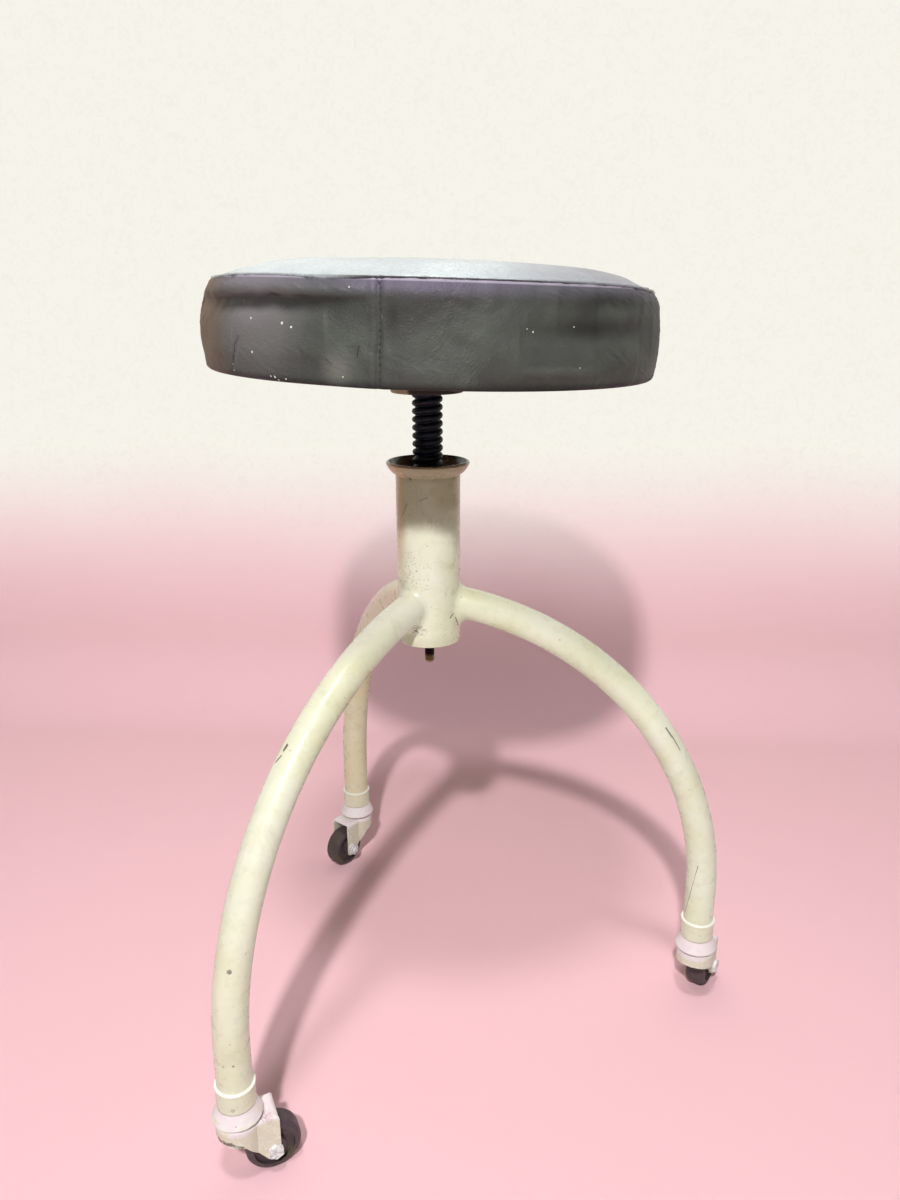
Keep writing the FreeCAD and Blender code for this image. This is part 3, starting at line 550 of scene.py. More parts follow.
def bolt_paint():
    """White paint, thick on the hexagons of the axle bolts and nuts, mottled with grey."""
    paint = Paint("bolt_white", roughness=0.35)
    cloud = paint.noise(3, 4.0, 0.65)
    paint.colour = paint.mix(paint.step(cloud, 0.35, 0.6), srgb(206, 196, 204), srgb(250, 248, 250))
    paint.lay(CASTER_STAIN, paint.patches(0.64, 0.72, 1.8), 0.5)
    paint.bump(cloud, 0.2)
    return paint.done()


def rubber():
    """Hard wheel rubber: purple-black with worn olive patches and trodden-in dust."""
    paint = Paint("worn_rubber")
    cloud = paint.noise(11, 5.0, 0.65, 1.0)
    paint.colour = paint.mix(paint.step(cloud, 0.46, 0.66), srgb(76, 62, 69), srgb(88, 80, 64))
    paint.lay(srgb(140, 132, 108), paint.patches(0.62, 0.74, 3.2, 5.0, 0.7, 0.8), 0.5)
    paint.set("Roughness", paint.step(cloud, -0.1, 1.0))
    paint.bump(paint.plus(paint.noise(2.2, 5.0, 0.7), paint.cells(3.5)), 0.5)
    return paint.done()


def metal(name, dark, light, rough_low, rough_high, size, depth, metallic=1.0, rust_share=0.0):
    """Bare or greasy metal with tarnish from dark to light, scratches and an optional rust bloom."""
    paint = Paint(name, metallic=metallic)
    cloud = paint.noise(size, 5.0, 0.65, 0.8)
    paint.colour = paint.mix(paint.step(cloud, 0.35, 0.68), dark, light)
    if rust_share:
        paint.lay(RUST, paint.patches(0.55, 0.68, size * 0.6, 5.0, 0.7), rust_share)
    paint.set("Roughness", paint.blend(cloud, rough_low, rough_high))
    paint.bump(paint.plus(cloud, paint.noise(size / 5)), depth)
    return paint.done()


def stud_metal():
    """Nearly black on the shank, rubbed bare on the threaded end."""
    paint = Paint("stud_steel", metallic=0.85)
    edge = paint.plus(paint.axis("Z"), paint.times(paint.noise(4), 4 * MM))
    bare = paint.climb(edge, 325, 322)
    cloud = paint.noise(5, 4.0, 0.65)
    paint.colour = paint.mix(cloud, srgb(14, 12, 11), srgb(44, 38, 32))
    paint.lay(paint.mix(cloud, srgb(92, 76, 48), srgb(168, 148, 104)), bare)
    paint.set("Roughness", paint.blend(bare, 0.5, 0.32))
    paint.bump(paint.noise(1.5), 0.12)
    return paint.done()


PLY_LAYER = 3.0


def plywood():
    paint = Paint("plywood", roughness=0.7)
    layer = paint.math("SINE", paint.times(paint.axis("Z"), 2 * math.pi / (PLY_LAYER * MM)))
    stretched = paint.vector("MULTIPLY", paint.place, (1, 0.06, 1))
    grain = paint.noise(3, 5.0, 0.6, 0.8, stretched)
    paint.colour = paint.mix(paint.step(grain, 0.35, 0.7), srgb(178, 140, 92), srgb(136, 98, 58))
    paint.lay(srgb(120, 84, 48), paint.patches(0.5, 0.6, 18, 3.0, 0.5, 2.0, stretched), 0.5)
    paint.lay(srgb(96, 66, 40), paint.step(layer, 0.2, 0.6), 0.2)
    paint.lay(srgb(92, 78, 60), paint.patches(0.5, 0.75, 40), 0.5)
    paint.bump(grain, 0.2)
    return paint.done()


def hub_paint():
    """Brown paint over a rough casting with dark rust spots, paler along its left, and nearly black
    elsewhere as painted shade under the seat.
    """
    paint = Paint("hub_brown", metallic=0.1)
    cloud = paint.noise(12, 5.0, 0.65, 0.6)
    paint.colour = paint.mix(paint.step(cloud, 0.35, 0.65), srgb(112, 88, 62), srgb(150, 124, 92))
    paint.lay(srgb(60, 40, 28), paint.patches(0.6, 0.7, 4, 4.0, 0.7))
    # paler along the left; the rest is painted shade under the seat, nearly black
    aside = paint.plus(paint.axis("X"), paint.wander(8, 6))
    paint.lay(srgb(206, 190, 162), paint.climb(aside, -8, -14), 0.5)
    paint.lay(srgb(24, 24, 23), paint.climb(aside, -14, -9), 0.95)
    paint.set("Roughness", paint.blend(cloud, 0.45, 0.75))
    paint.bump(paint.plus(paint.noise(3, 5.0, 0.7), paint.noise(1.2, 2.0)), 0.5)
    return paint.done()


steel_greased = metal("greased_steel", srgb(7, 15, 25), srgb(20, 36, 50), 0.34, 0.6, 9, 0.35, 0.5)
steel_bare = metal("bare_steel", srgb(96, 92, 86), srgb(158, 152, 142), 0.35, 0.6, 8, 0.15, 1.0, 0.5)
bronze = metal("bronze", srgb(96, 68, 34), srgb(168, 128, 68), 0.35, 0.6, 5, 0.1)

dress(column_enamel(), "column_tube", "leg_welds")
leg_paint = leg_enamel("leg_enamel", LEG_CHIPS, 0.0)
# the rear leg has its own copy of the enamel, browned as painted shade
shaded_rear_paint = leg_enamel("rear_leg_shaded_enamel", REAR_CHIPS, 0.35)
caster_paint = caster_enamel()
bolt_white = bolt_paint()
wheel_rubber = rubber()
for leg in LEGS:
    dress(shaded_rear_paint if leg == "rear" else leg_paint, "leg_tube_" + leg, "leg_ferrule_" + leg)
    dress(caster_paint, "caster_cup_" + leg, "caster_fork_" + leg)
    dress(bolt_white, "axle_bolt_" + leg, "axle_nut_" + leg)
    dress(steel_bare, "stem_socket_" + leg, "caster_stem_" + leg, "race_balls_" + leg)
    dress(wheel_rubber, "caster_wheel_" + leg)
    dress(bronze, "wheel_bush_" + leg)
dress(steel_greased, "lift_nut")
dress(steel_bare, "stop_washer", "stop_nut", "plate_screws")
dress(hub_paint(), "seat_hub", "seat_plate")
dress(plywood(), "seat_board")

# Lifting screw, with a rounded, worn thread in step with the nut
SCREW_FOOT = 379.0
SCREW_TOP = 528.0
SHANK_TOP = 538.0
SHANK_RADIUS = 9.0
THREAD_CREST = 11.45
THREAD_ROOT = 9.15
THREAD_PITCH = 6.0
THREAD_START = 3.0
RIDGE_HALF = 2.4
RIDGE_FULLNESS = 2.4
RIDGE_ROUNDNESS = 0.6
THREAD_FADE = 5.0
SCREW_STEP = 0.3
SCREW_COLUMNS = 64


def threaded_rings(heights, columns, root, crest, pitch, start, low, high, half, fullness, fade):
    """Rings of a rod with a right-handed thread of rounded ridges that fades out towards low and high."""
    z, turn = np.meshgrid(heights, round_angles(columns), indexing="ij")
    phase = (z - start) / pitch - turn / (2 * math.pi)
    from_crest = np.abs(phase - np.round(phase)) * pitch
    ridge = (1 - np.minimum(from_crest / half, 1) ** fullness) ** RIDGE_ROUNDNESS
    ridge = ridge * smooth_step(low, low + fade, z) * (1 - smooth_step(high - fade, high, z))
    return around_axis(root + (crest - root) * ridge, turn, z)


def lift_screw():
    heights = np.arange(SCREW_FOOT, SCREW_TOP, SCREW_STEP)
    rings = threaded_rings(heights, SCREW_COLUMNS, THREAD_ROOT, THREAD_CREST, THREAD_PITCH, SCREW_FOOT,
                           SCREW_FOOT + THREAD_START, SCREW_TOP + THREAD_FADE / 2, RIDGE_HALF,
                           RIDGE_FULLNESS, THREAD_FADE)
    shank = rings[-1:].copy()
    shank[..., :2] *= SHANK_RADIUS / THREAD_ROOT
    top = shank.copy()
    top[..., 2] = SHANK_TOP
    points, faces = capped(np.vstack([rings, shank, top]))
    screw = mesh_object("lift_screw", points, faces, "seat", steel_greased)
    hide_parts("lift_spindle")


lift_screw()

# The rod below the column, with a fine thread on its free end
STUD_FOOT = 315.5
STUD_TOP = 398.9
STUD_RADIUS = 4.3
STUD_THREAD_END = 329.5
STUD_RELIEF_END = 331.0
STUD_RELIEF_RADIUS = 3.3
STUD_CREST = 3.9
STUD_ROOT = 3.4
STUD_PITCH = 1.25
STUD_RIDGE_HALF = 0.6
STUD_FULLNESS = 1.2
STUD_FADE = 1.2
STUD_TIP = 1.6
STUD_STEP = 0.15
STUD_COLUMNS = 40
STUD_TIP_ROWS = 6
# The rod above its thread: radius and height of each ring
STUD_SHANK = [
    (STUD_RELIEF_RADIUS, STUD_THREAD_END + 0.2), (STUD_RELIEF_RADIUS, STUD_RELIEF_END),
    (STUD_RADIUS - 0.4, STUD_RELIEF_END + 0.05), (STUD_RADIUS, STUD_RELIEF_END + 0.45),
    (STUD_RADIUS, 350.0), (STUD_RADIUS, STUD_TOP),
]


def stop_rod():
    thread = threaded_rings(np.arange(STUD_FOOT + STUD_TIP, STUD_THREAD_END, STUD_STEP), STUD_COLUMNS,
                            STUD_ROOT, STUD_CREST, STUD_PITCH, STUD_FOOT, STUD_FOOT, STUD_THREAD_END + 1,
                            STUD_RIDGE_HALF, STUD_FULLNESS, STUD_FADE)
    rise = np.linspace(0, math.pi / 2, STUD_TIP_ROWS, endpoint=False)
    tip = np.c_[STUD_ROOT - STUD_TIP + STUD_TIP * np.sin(rise), STUD_FOOT + STUD_TIP * (1 - np.cos(rise))]
    points, faces = capped(np.vstack([revolve(tip, STUD_COLUMNS), thread,
                                      revolve(np.array(STUD_SHANK), STUD_COLUMNS)]))
    rod = mesh_object("stop_rod", points, faces, "seat", stud_metal())
    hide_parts("stop_stud")


stop_rod()

# Cushion, in the seat's own frame: on the hub's top, a little off the screw's axis and leaning to +X
SEAT_OFFSET = 3.0
HUB_TOP = 541.0
SEAT_LEAN = math.radians(1.8)
BOARD_BASE = 4.0
BOARD_RADIUS = 155.0
FOOT_RADIUS = 159.2
SEAM_RADIUS = 156.6
HEM_RADIUS = 129.0
HEM_ROUND = 3.6
SKIN = 1.3
HEM_HEIGHT = BOARD_BASE - SKIN
SEAM_HEIGHT = BOARD_BASE + 59.0
CROWN_HEIGHT = SEAM_HEIGHT + 15.5
# Places on the profile, as radius and height, and the radii of the arcs between them
WIDEST = (161.0, BOARD_BASE + 20.0)
BAND_ROLL = (160.4, BOARD_BASE + 48.5)
SEAM = (SEAM_RADIUS, SEAM_HEIGHT)
SHOULDER = (117.6, SEAM_HEIGHT + 12.0)
LOWER_ARC = 82.0
UPPER_ARC = 560.0
ROLL_ARC = 13.5
SHOULDER_ARC = 78.0
CROWN_ARC = 1730.7

seat_turn = Matrix.Rotation(SEAT_LEAN, 3, "Y")
SEAT_BASE = np.array([SEAT_OFFSET, 0, HUB_TOP])


def to_stool(points):
    """Points of the seat's own frame, in the stool's."""
    return np.asarray(points) @ np.array(seat_turn).T + SEAT_BASE


def side_profile(rows_below, rows_above):
    rows_roll = rows_above // 2
    return np.vstack([arc_points((FOOT_RADIUS, HEM_HEIGHT + HEM_ROUND), WIDEST, LOWER_ARC, rows_below),
                      arc_points(WIDEST, BAND_ROLL, UPPER_ARC, rows_above - rows_roll),
                      arc_points(BAND_ROLL, SEAM, ROLL_ARC, rows_roll)])


def crown_profile(rows_shoulder, rows_crown, centre_radius):
    centre = (centre_radius, CROWN_HEIGHT)
    return np.vstack([arc_points(SEAM, SHOULDER, SHOULDER_ARC, rows_shoulder),
                      arc_points(SHOULDER, centre, CROWN_ARC, rows_crown), [centre]])


# The cushion's form is blown up by simulation, held at the seam and at the foot
PAD_INSET = 1.6
PAD_COLUMNS = 160
PAD_VOXEL = 5.5
PAD_SLACK = -0.035
PAD_FRAMES = 20
PAD_CAP = 5.0
PAD_HOLD = 5.0
PAD_BASE_ROWS, PAD_LOWER_ROWS, PAD_UPPER_ROWS = 20, 6, 8
PAD_SHOULDER_ROWS, PAD_CROWN_ROWS = 8, 14
PAD_CLOTH = {
    "quality": 6, "mass": 0.25, "tension_stiffness": 18, "compression_stiffness": 18, "shear_stiffness": 6,
    "bending_stiffness": 0.8, "use_pressure": True, "uniform_pressure_force": 4.0,
    "shrink_min": PAD_SLACK, "shrink_max": PAD_SLACK, "vertex_group_mass": "held",
}


def simulated_pad():
    """A closed pad, simulated as cloth under pressure, as a tree of its surface in the seat's frame."""
    profile = np.vstack([line_points((PAD_HOLD, BOARD_BASE), (FOOT_RADIUS, BOARD_BASE), PAD_BASE_ROWS),
                         side_profile(PAD_LOWER_ROWS, PAD_UPPER_ROWS),
                         crown_profile(PAD_SHOULDER_ROWS, PAD_CROWN_ROWS, PAD_HOLD)])
    profile[:, 0] -= PAD_INSET * smooth_step(0, 60, profile[:, 0])
    profile[:, 1] -= PAD_INSET * smooth_step(30, 60, profile[:, 1])
    points, faces = capped(revolve(profile, PAD_COLUMNS))
    mesh = bpy.data.meshes.new("pad_form")
    mesh.from_pydata([tuple(point) for point in points * MM], [], faces)
    pad = bpy.data.objects.new("pad_form", mesh)
    scene.collection.objects.link(pad)
    bpy.context.view_layer.objects.active = pad
    for other in bpy.context.selected_objects:
        other.select_set(False)
    pad.select_set(True)
    mesh.remesh_voxel_size = PAD_VOXEL * MM
    bpy.ops.object.voxel_remesh()
    rest = np.array([vertex.co for vertex in pad.data.vertices])
    radius, height = np.hypot(rest[:, 0], rest[:, 1]) / MM, rest[:, 2] / MM
    at_seam = np.hypot(radius - (SEAM_RADIUS - PAD_INSET), height - (SEAM_HEIGHT - PAD_INSET)) < PAD_HOLD
    held = at_seam | (height < BOARD_BASE + PAD_HOLD)
    group = pad.vertex_groups.new(name="held")
    group.add([int(i) for i in np.nonzero(held)[0]], 1.0, "REPLACE")
    cloth = pad.modifiers.new("cloth", "CLOTH")
    for key, value in PAD_CLOTH.items():
        setattr(cloth.settings, key, value)
    cloth.settings.effector_weights.gravity = 0
    cloth.point_cache.frame_start = 1
    cloth.point_cache.frame_end = PAD_FRAMES
    for number in range(1, PAD_FRAMES + 1):
        scene.frame_set(number)
    bpy.ops.object.modifier_apply(modifier="cloth")
    scene.frame_set(1)
    move = np.array([vertex.co for vertex in pad.data.vertices]) - rest
    length = np.linalg.norm(move, axis=1, keepdims=True)
    now = rest + move * np.minimum(1, PAD_CAP * MM / np.maximum(length, TINY))
    tree = BVHTree.FromPolygons([Vector(point) for point in now],
                                [tuple(face.vertices) for face in pad.data.polygons])
    bpy.data.objects.remove(pad)
    return tree


pad_tree = simulated_pad()


def profile_normals(profile):
    along = np.gradient(profile, axis=0)
    along /= np.linalg.norm(along, axis=1, keepdims=True)
    return np.c_[along[:, 1], -along[:, 0]]


PAD_SEARCH = 12.0
FORM_MEAN_SHARE = 0.05
BROAD_PARTS = 240
BROAD_PASSES = 9


def form_of(profile, columns, soften):
    """How far the simulated pad stands out from each point of a revolved profile, softened."""
    rings = revolve(profile, columns)
    ways = revolve(profile_normals(profile), columns)
    out = np.zeros(rings.shape[:2])
    for row in range(rings.shape[0]):
        for column in range(columns):
            way = Vector(ways[row, column])
            start = Vector(rings[row, column] * MM) - way * PAD_SEARCH * MM
            distance = pad_tree.ray_cast(start, way, 2 * PAD_SEARCH * MM)[3]
            out[row, column] = 0 if distance is None else distance / MM - PAD_SEARCH
    mean = out.mean(axis=1, keepdims=True)
    for _ in range(soften):
        out = (out + np.roll(out, 1, 1) + np.roll(out, -1, 1)) / 3
        out[1:-1] = (out[:-2] + out[1:-1] + out[2:]) / 3
    broad = columns // BROAD_PARTS
    for _ in range(BROAD_PASSES):
        out = (out + np.roll(out, broad, 1) + np.roll(out, -broad, 1)) / 3
    return out - out.mean(axis=1, keepdims=True) + (mean - mean.mean()) * FORM_MEAN_SHARE


# Folds of the band as seen in the photograph: two pixels, then half width and depth in millimetres
SEEN_FOLDS = [
    (196, 299, 376, 297, 3.2, 2.9), (196, 299, 364, 298, 4.4, 1.2), (200, 287, 362, 288, 5.0, -1.3),
    (325, 322, 380, 318, 7.0, 1.3), (380, 318, 442, 304, 7.0, 1.5), (232, 330, 300, 345, 12.0, -1.2),
    (560, 300, 645, 302, 6.0, 1.9), (520, 333, 652, 328, 6.5, 2.0), (500, 350, 640, 350, 8.0, -1.2),
    (470, 384, 600, 383, 4.0, 1.6), (520, 371, 600, 370, 2.0, -0.7), (240, 337, 232, 368, 2.2, 0.9),
    (445, 300, 500, 318, 2.6, 0.7), (450, 318, 506, 340, 2.6, 0.6), (444, 338, 492, 356, 2.4, 0.55),
    (470, 296, 528, 308, 2.8, 0.6), (300, 352, 345, 360, 6.0, -0.9), (352, 345, 368, 385, 4.0, 0.8),
    (392, 300, 386, 350, 3.5, 0.7), (600, 315, 640, 316, 4.0, -0.9), (262, 362, 330, 366, 5.0, 0.9),
    (400, 372, 480, 378, 6.0, -0.9), (540, 290, 600, 292, 3.0, -0.8),
]
# Folds all round, where the photograph doesn't reach: angle, height, angle, height, half width, depth
FAR_FOLDS = [
    (20, 46, 52, 44, 6.5, 2.2), (48, 22, 88, 26, 8.0, 1.7), (84, 47, 128, 43, 6.0, 2.4),
    (110, 24, 150, 20, 8.5, -1.4), (134, 40, 176, 46, 6.0, 2.0), (150, 30, 196, 26, 7.0, 1.5),
    (10, 32, 40, 30, 9.0, -1.4), (60, 38, 78, 12, 3.5, 0.8), (100, 36, 92, 12, 3.0, 0.8),
    (8, 12, 48, 14, 5.0, 1.2), (70, 10, 120, 10, 4.5, 1.3), (140, 10, 180, 12, 5.0, 1.1),
    (26, 56, 70, 55, 3.5, -0.9), (96, 55, 150, 56, 3.5, -0.9), (160, 56, 190, 54, 3.5, -0.8),
]
VERTICAL_SEAM_PIXEL = (378, 335)
BACK_SEAM_ANGLE = 88.0
SEEN_RADIUS = 161.0
LOWER_SPREAD = 2.4
FOLD_TAPER = 0.35
# Waves that bend the folds up and down: a size, numbers of waves round the seat and a seed
FOLD_WOBBLES = [(0.6, (9, 14, 23), 5), (0.4, (37, 51), 6)]


def on_band(px, py):
    """Angle in degrees and height above the seat's base of the band at a pixel of the photograph."""
    turned = seat_turn.transposed()
    start = turned @ (CAMERA_PLACE / MM - Vector(SEAT_BASE))
    way = turned @ sight(px, py)
    a = way.x ** 2 + way.y ** 2
    b = 2 * (start.x * way.x + start.y * way.y)
    c = start.x ** 2 + start.y ** 2 - SEEN_RADIUS ** 2
    inside = max(b * b - 4 * a * c, 0)
    hit = start + way * ((-b - math.sqrt(inside)) / (2 * a))
    return math.degrees(math.atan2(hit.y, hit.x)), hit.z


def away(angles, angle):
    """Distance round the band from an angle in degrees, in millimetres."""
    turn = (angles - math.radians(angle) + math.pi) % (2 * math.pi) - math.pi
    return turn * SEEN_RADIUS


def fold_relief(angles, heights):
    """How far the folds push the band in, at each angle in radians and height."""
    total = np.zeros_like(angles)
    folds = [on_band(x1, y1) + on_band(x2, y2) + (width, depth)
             for x1, y1, x2, y2, width, depth in SEEN_FOLDS]
    wobble = sum(size * ripple(angles, counts, seed) for size, counts, seed in FOLD_WOBBLES)
    for first, low, last, high, width, depth in folds + FAR_FOLDS:
        across = away(angles, first)
        length = float(away(np.array(math.radians(last)), first))
        rise = high - low
        along = across * length + (heights + wobble - low) * rise
        share = np.clip(along / (length ** 2 + rise ** 2), 0, 1)
        above = heights + wobble - low - share * rise
        gap = np.hypot(across - share * length, above / np.where(above < 0, LOWER_SPREAD, 1.0))
        taper = (4 * share * (1 - share)) ** FOLD_TAPER
        total = total + depth * taper * bell(gap, width)
    return total


SEAM_PUCKER = 0.55
SEAM_REACH = 12.0
FINE_WRINKLE = 0.22
# How far the seam is drawn in and down and the foot's edge rises: angle, width in degrees, size
SEAM_IN = [(197, 22.0, 3.6), (351, 18.0, 1.6), (95, 30.0, 1.6)]
SEAM_DROP = [(197, 24.0, 2.2), (-108, 9.0, 1.6), (0, 28.0, 4.2), (110, 24.0, 1.2)]
SHOULDER_DROP = [(192, 34.0, 3.2), (-6, 22.0, 1.2)]
HEM_RISE = [(-135, 16.0, 0.5), (-98, 11.0, -2.4), (-62, 22.0, -1.6), (40, 20.0, 0.8), (130, 18.0, 1.0)]
# A sewn joint's groove, the pull beside it and the puffs of the vinyl: depth and width, then their place
GROOVE = (1.5, 0.95)
PULL = (0.9, 9.0)
PUFF = (0.75, 2.2)
PUFF_PLACE = 3.8
SEAM_WANDER = [(0.5, 7.0), (0.3, 3.1)]


def vertical_seam(angles, heights, angle):
    """A sewn joint up the band, puffed on both sides of a narrow groove."""
    wander = sum(size * np.sin(heights / reach) for size, reach in SEAM_WANDER)
    gap = away(angles, angle) + wander
    return (GROOVE[0] * bell(gap, GROOVE[1]) + PULL[0] * bell(gap, PULL[1])
            - PUFF[0] * bell(np.abs(gap) - PUFF_PLACE, PUFF[1]))


def around(angles, bumps):
    """A sum of bumps round the seat, each an angle in degrees, a width in degrees and a size."""
    total = np.zeros_like(angles)
    for angle, width, size in bumps:
        total = total + size * bell(away(angles, angle), SEEN_RADIUS * math.radians(width))
    return total


BAND_COLUMNS = 960
HEM_ROWS = 9
ROUND_ROWS = 6
LOWER_ROWS = 18
UPPER_ROWS = 26
SIDE_START = HEM_ROWS + ROUND_ROWS
SIDE_END = SIDE_START + LOWER_ROWS + UPPER_ROWS
TUCK_ROWS = 6
INWARD_ROWS = 3
TUCK_DEPTH = 4.0
TUCK_FALL = 2.0
TUCK_RISE_SHARE = 0.6
ROLL = 1.5
BAND_SOFTEN = 6
PUCKER_COUNTS = (31, 43, 58, 71)
PUCKER_SEED = 11
# The band's fine wrinkles are the product of two slanting waves: slant, numbers of waves and a seed
GRAIN_WAVES = [(0.021, (64, 83, 97), 13), (-0.033, (17, 22, 9), 14)]
FORM_FADE = 10
FOLD_TOP = (-2, 5)
BAND_IN_REACH = 17.0
HEM_RISE_REACH = 9.0
DROP_START = BOARD_BASE + 26
# The hem's gathers between the staples, and how its free edge strays
GATHER_DEPTH = 1.3
GATHER_ROUNDNESS = 0.7
GATHER_COUNTS = (7, 11, 19)
GATHER_SEED = 21
EDGE_STRAY = 2.2
EDGE_COUNTS = (13, 29, 41)
EDGE_SEED = 23
STAPLE_COUNT = 24
seam_angle = on_band(*VERTICAL_SEAM_PIXEL)[0]


def band_rings():
    inner_foot = (FOOT_RADIUS - HEM_ROUND, HEM_HEIGHT)
    tucked = (SEAM_RADIUS - ROLL, SEAM_HEIGHT + ROLL * TUCK_RISE_SHARE)
    profile = np.vstack([
        line_points((HEM_RADIUS, HEM_HEIGHT), inner_foot, HEM_ROWS),
        arc_points(inner_foot, (FOOT_RADIUS, HEM_HEIGHT + HEM_ROUND), HEM_ROUND, ROUND_ROWS),
        side_profile(LOWER_ROWS, UPPER_ROWS),
        arc_points(SEAM, tucked, ROLL, TUCK_ROWS),
        line_points(tucked, (SEAM_RADIUS - TUCK_DEPTH, SEAM_HEIGHT - TUCK_FALL), INWARD_ROWS),
    ])
    normals = profile_normals(profile)
    turn, height = np.meshgrid(round_angles(BAND_COLUMNS), profile[:, 1], indexing="xy")
    rows = np.arange(len(profile))[:, None]
    on_side = smooth_step(HEM_ROWS, SIDE_START, rows)
    below_seam = SEAM_HEIGHT - height
    beneath = np.maximum(below_seam, 0)
    form = form_of(profile, BAND_COLUMNS, BAND_SOFTEN)
    form[SIDE_END:] = form[SIDE_END - 1]
    hollow = fold_relief(turn, height) * on_side * smooth_step(*FOLD_TOP, below_seam)
    move = form * smooth_step(0, FORM_FADE, height - HEM_HEIGHT) - hollow
    for angle in (seam_angle, BACK_SEAM_ANGLE):
        move = move - vertical_seam(turn, height, angle) * on_side
    near = np.exp(-beneath / SEAM_REACH)
    move = move - SEAM_PUCKER * near * ripple(turn, PUCKER_COUNTS, PUCKER_SEED) * on_side
    fine, broad = (ripple(turn + height * slant, counts, seed) for slant, counts, seed in GRAIN_WAVES)
    move = move + FINE_WRINKLE * (fine * broad) * on_side
    drawn = around(turn, SEAM_IN) * bell(beneath, BAND_IN_REACH) * on_side
    radius = profile[:, 0][:, None] + normals[:, 0][:, None] * move - drawn
    z = height + normals[:, 1][:, None] * move * on_side
    # the foot's edge rises and falls a little, and the hem under the board is gathered between staples
    low = np.exp(-np.maximum(height - HEM_HEIGHT, 0) / HEM_RISE_REACH)
    z = z + around(turn, HEM_RISE) * low * on_side
    z = z - around(turn, SEAM_DROP) * smooth_step(DROP_START, SEAM_HEIGHT, height)
    inward_share = 1 - smooth_step(0, HEM_ROWS, rows)
    gather = np.abs(np.sin(turn * STAPLE_COUNT / 2)) ** GATHER_ROUNDNESS
    gather = gather * (0.7 + 0.5 * ripple(turn, GATHER_COUNTS, GATHER_SEED))
    z = z - GATHER_DEPTH * np.maximum(gather, 0) * inward_share
    radius = radius + EDGE_STRAY * ripple(turn, EDGE_COUNTS, EDGE_SEED) * inward_share
    return around_axis(radius, turn, z), hollow


def closed_skin(outer, inward):
    """Rings of a closed skin: the outer rings, then the ones a skin's thickness inside, back again."""
    return np.vstack([outer, (outer + inward)[::-1]])


def ring_normals(rings):
    """Outward normals of a grid of rings."""
    along = np.gradient(rings, axis=0)
    across = np.roll(rings, -1, 1) - np.roll(rings, 1, 1)
    normal = np.cross(across, along)
    return normal / np.maximum(np.linalg.norm(normal, axis=-1, keepdims=True), TINY)


VINYL_GREY = srgb(82, 86, 81)
VINYL_DARK = srgb(70, 71, 69)
VINYL_FOLD_SHADE = srgb(36, 35, 33)
VINYL_PALE = srgb(108, 110, 104)
VINYL_LILAC_SHEEN = srgb(112, 101, 128)
VINYL_RIDGE = srgb(176, 168, 184)
VINYL_BROWN = srgb(112, 86, 64)
VINYL_FOOT = srgb(20, 19, 18)
VINYL_SCUFF = srgb(156, 154, 146)
VINYL_RUBBED = srgb(134, 129, 132)
SPECK_WHITE = srgb(226, 224, 216)
# Marks on the finished band, found through the CAD band's name
BAND_SPECKS = {"cover_band": [
    (251, 318, 0.8), (282, 323, 0.9), (291, 327, 0.8), (252, 352, 0.8), (349, 287, 0.5), (527, 329, 0.5),
    (533, 332, 0.6), (574, 327, 0.5), (580, 368, 0.5), (271, 376, 0.7), (275, 377, 0.8), (279, 380, 0.7),
    (286, 379, 0.6), (343, 377, 0.5), (210, 361, 0.6), (233, 364, 0.5), (234, 370, 0.5),
]}
BAND_CRACKS = {"cover_band": [
    (359, 346, 358, 351, 0.4), (358, 352, 357, 357, 0.35), (326, 359, 331, 364, 0.5),
    (238, 337, 235, 343, 0.4), (235, 343, 234, 352, 0.35), (234, 354, 232, 369, 0.35),
]}
BAND_RUBBED = ("cover_band", 252, 303, 62.0)
BAND_SMEAR = ("cover_band", 337, 369, 14.0)
# Spans from where a tint sets in to where it is full: heights above the hub, and places across
LILAC_SHEEN_RISE = (51, 62)
FOOT_FALL = (9, 1.5)
RIDGE_RISE, RIDGE_FALL = (61.6, 62.6), (64.4, 63.8)
VIVID_FROM, VIVID_TO = (-50, -20), (90, 20)
BROWN_LEFT, BROWN_FRONT = (-108, -144), (15, -30)
FOLD_SHADE_DEPTH, CREST_HIGHLIGHT_DEPTH = (0.4, 2.8), (-0.2, -2.2)


def seat_height(paint):
    """Height above the hub's top in the leaning seat's own frame, in metres."""
    upward_part = paint.times(paint.axis("Z"), math.cos(SEAT_LEAN))
    height = paint.scale_add(paint.axis("X"), math.sin(SEAT_LEAN), upward_part)
    base = SEAT_OFFSET * math.sin(SEAT_LEAN) + HUB_TOP * math.cos(SEAT_LEAN)
    return paint.minus(height, base * MM)


CREASE_SHARE = 3.4
GRAIN_WARP = 0.9


def leather(paint, cell, crease_depth):
    """Pebbled leather grain and its finer creases, as one relief."""
    warp = paint.vector("SUBTRACT", paint.noise(9, 2.0, 0.5, out="Color"), (0.5, 0.5, 0.5))
    place = paint.vector("ADD", paint.place, paint.scaled(warp, GRAIN_WARP * MM))
    pebble = paint.step(paint.cells(cell, "SMOOTH_F1", place), 0.0, 0.75)
    crease = paint.step(paint.cells(cell * CREASE_SHARE, "DISTANCE_TO_EDGE", place), 0.0, 0.1)
    relief = paint.minus(paint.times(crease, crease_depth), pebble)
    return paint.scale_add(paint.noise(cell * 6), 1.4, relief), crease


WRINKLE_LEAN = math.radians(50)
WRINKLE_SIZE = 2.6
WRINKLE_STRETCH = 0.12
WRINKLE_LEFT, WRINKLE_RIGHT = 2.0, 62.0


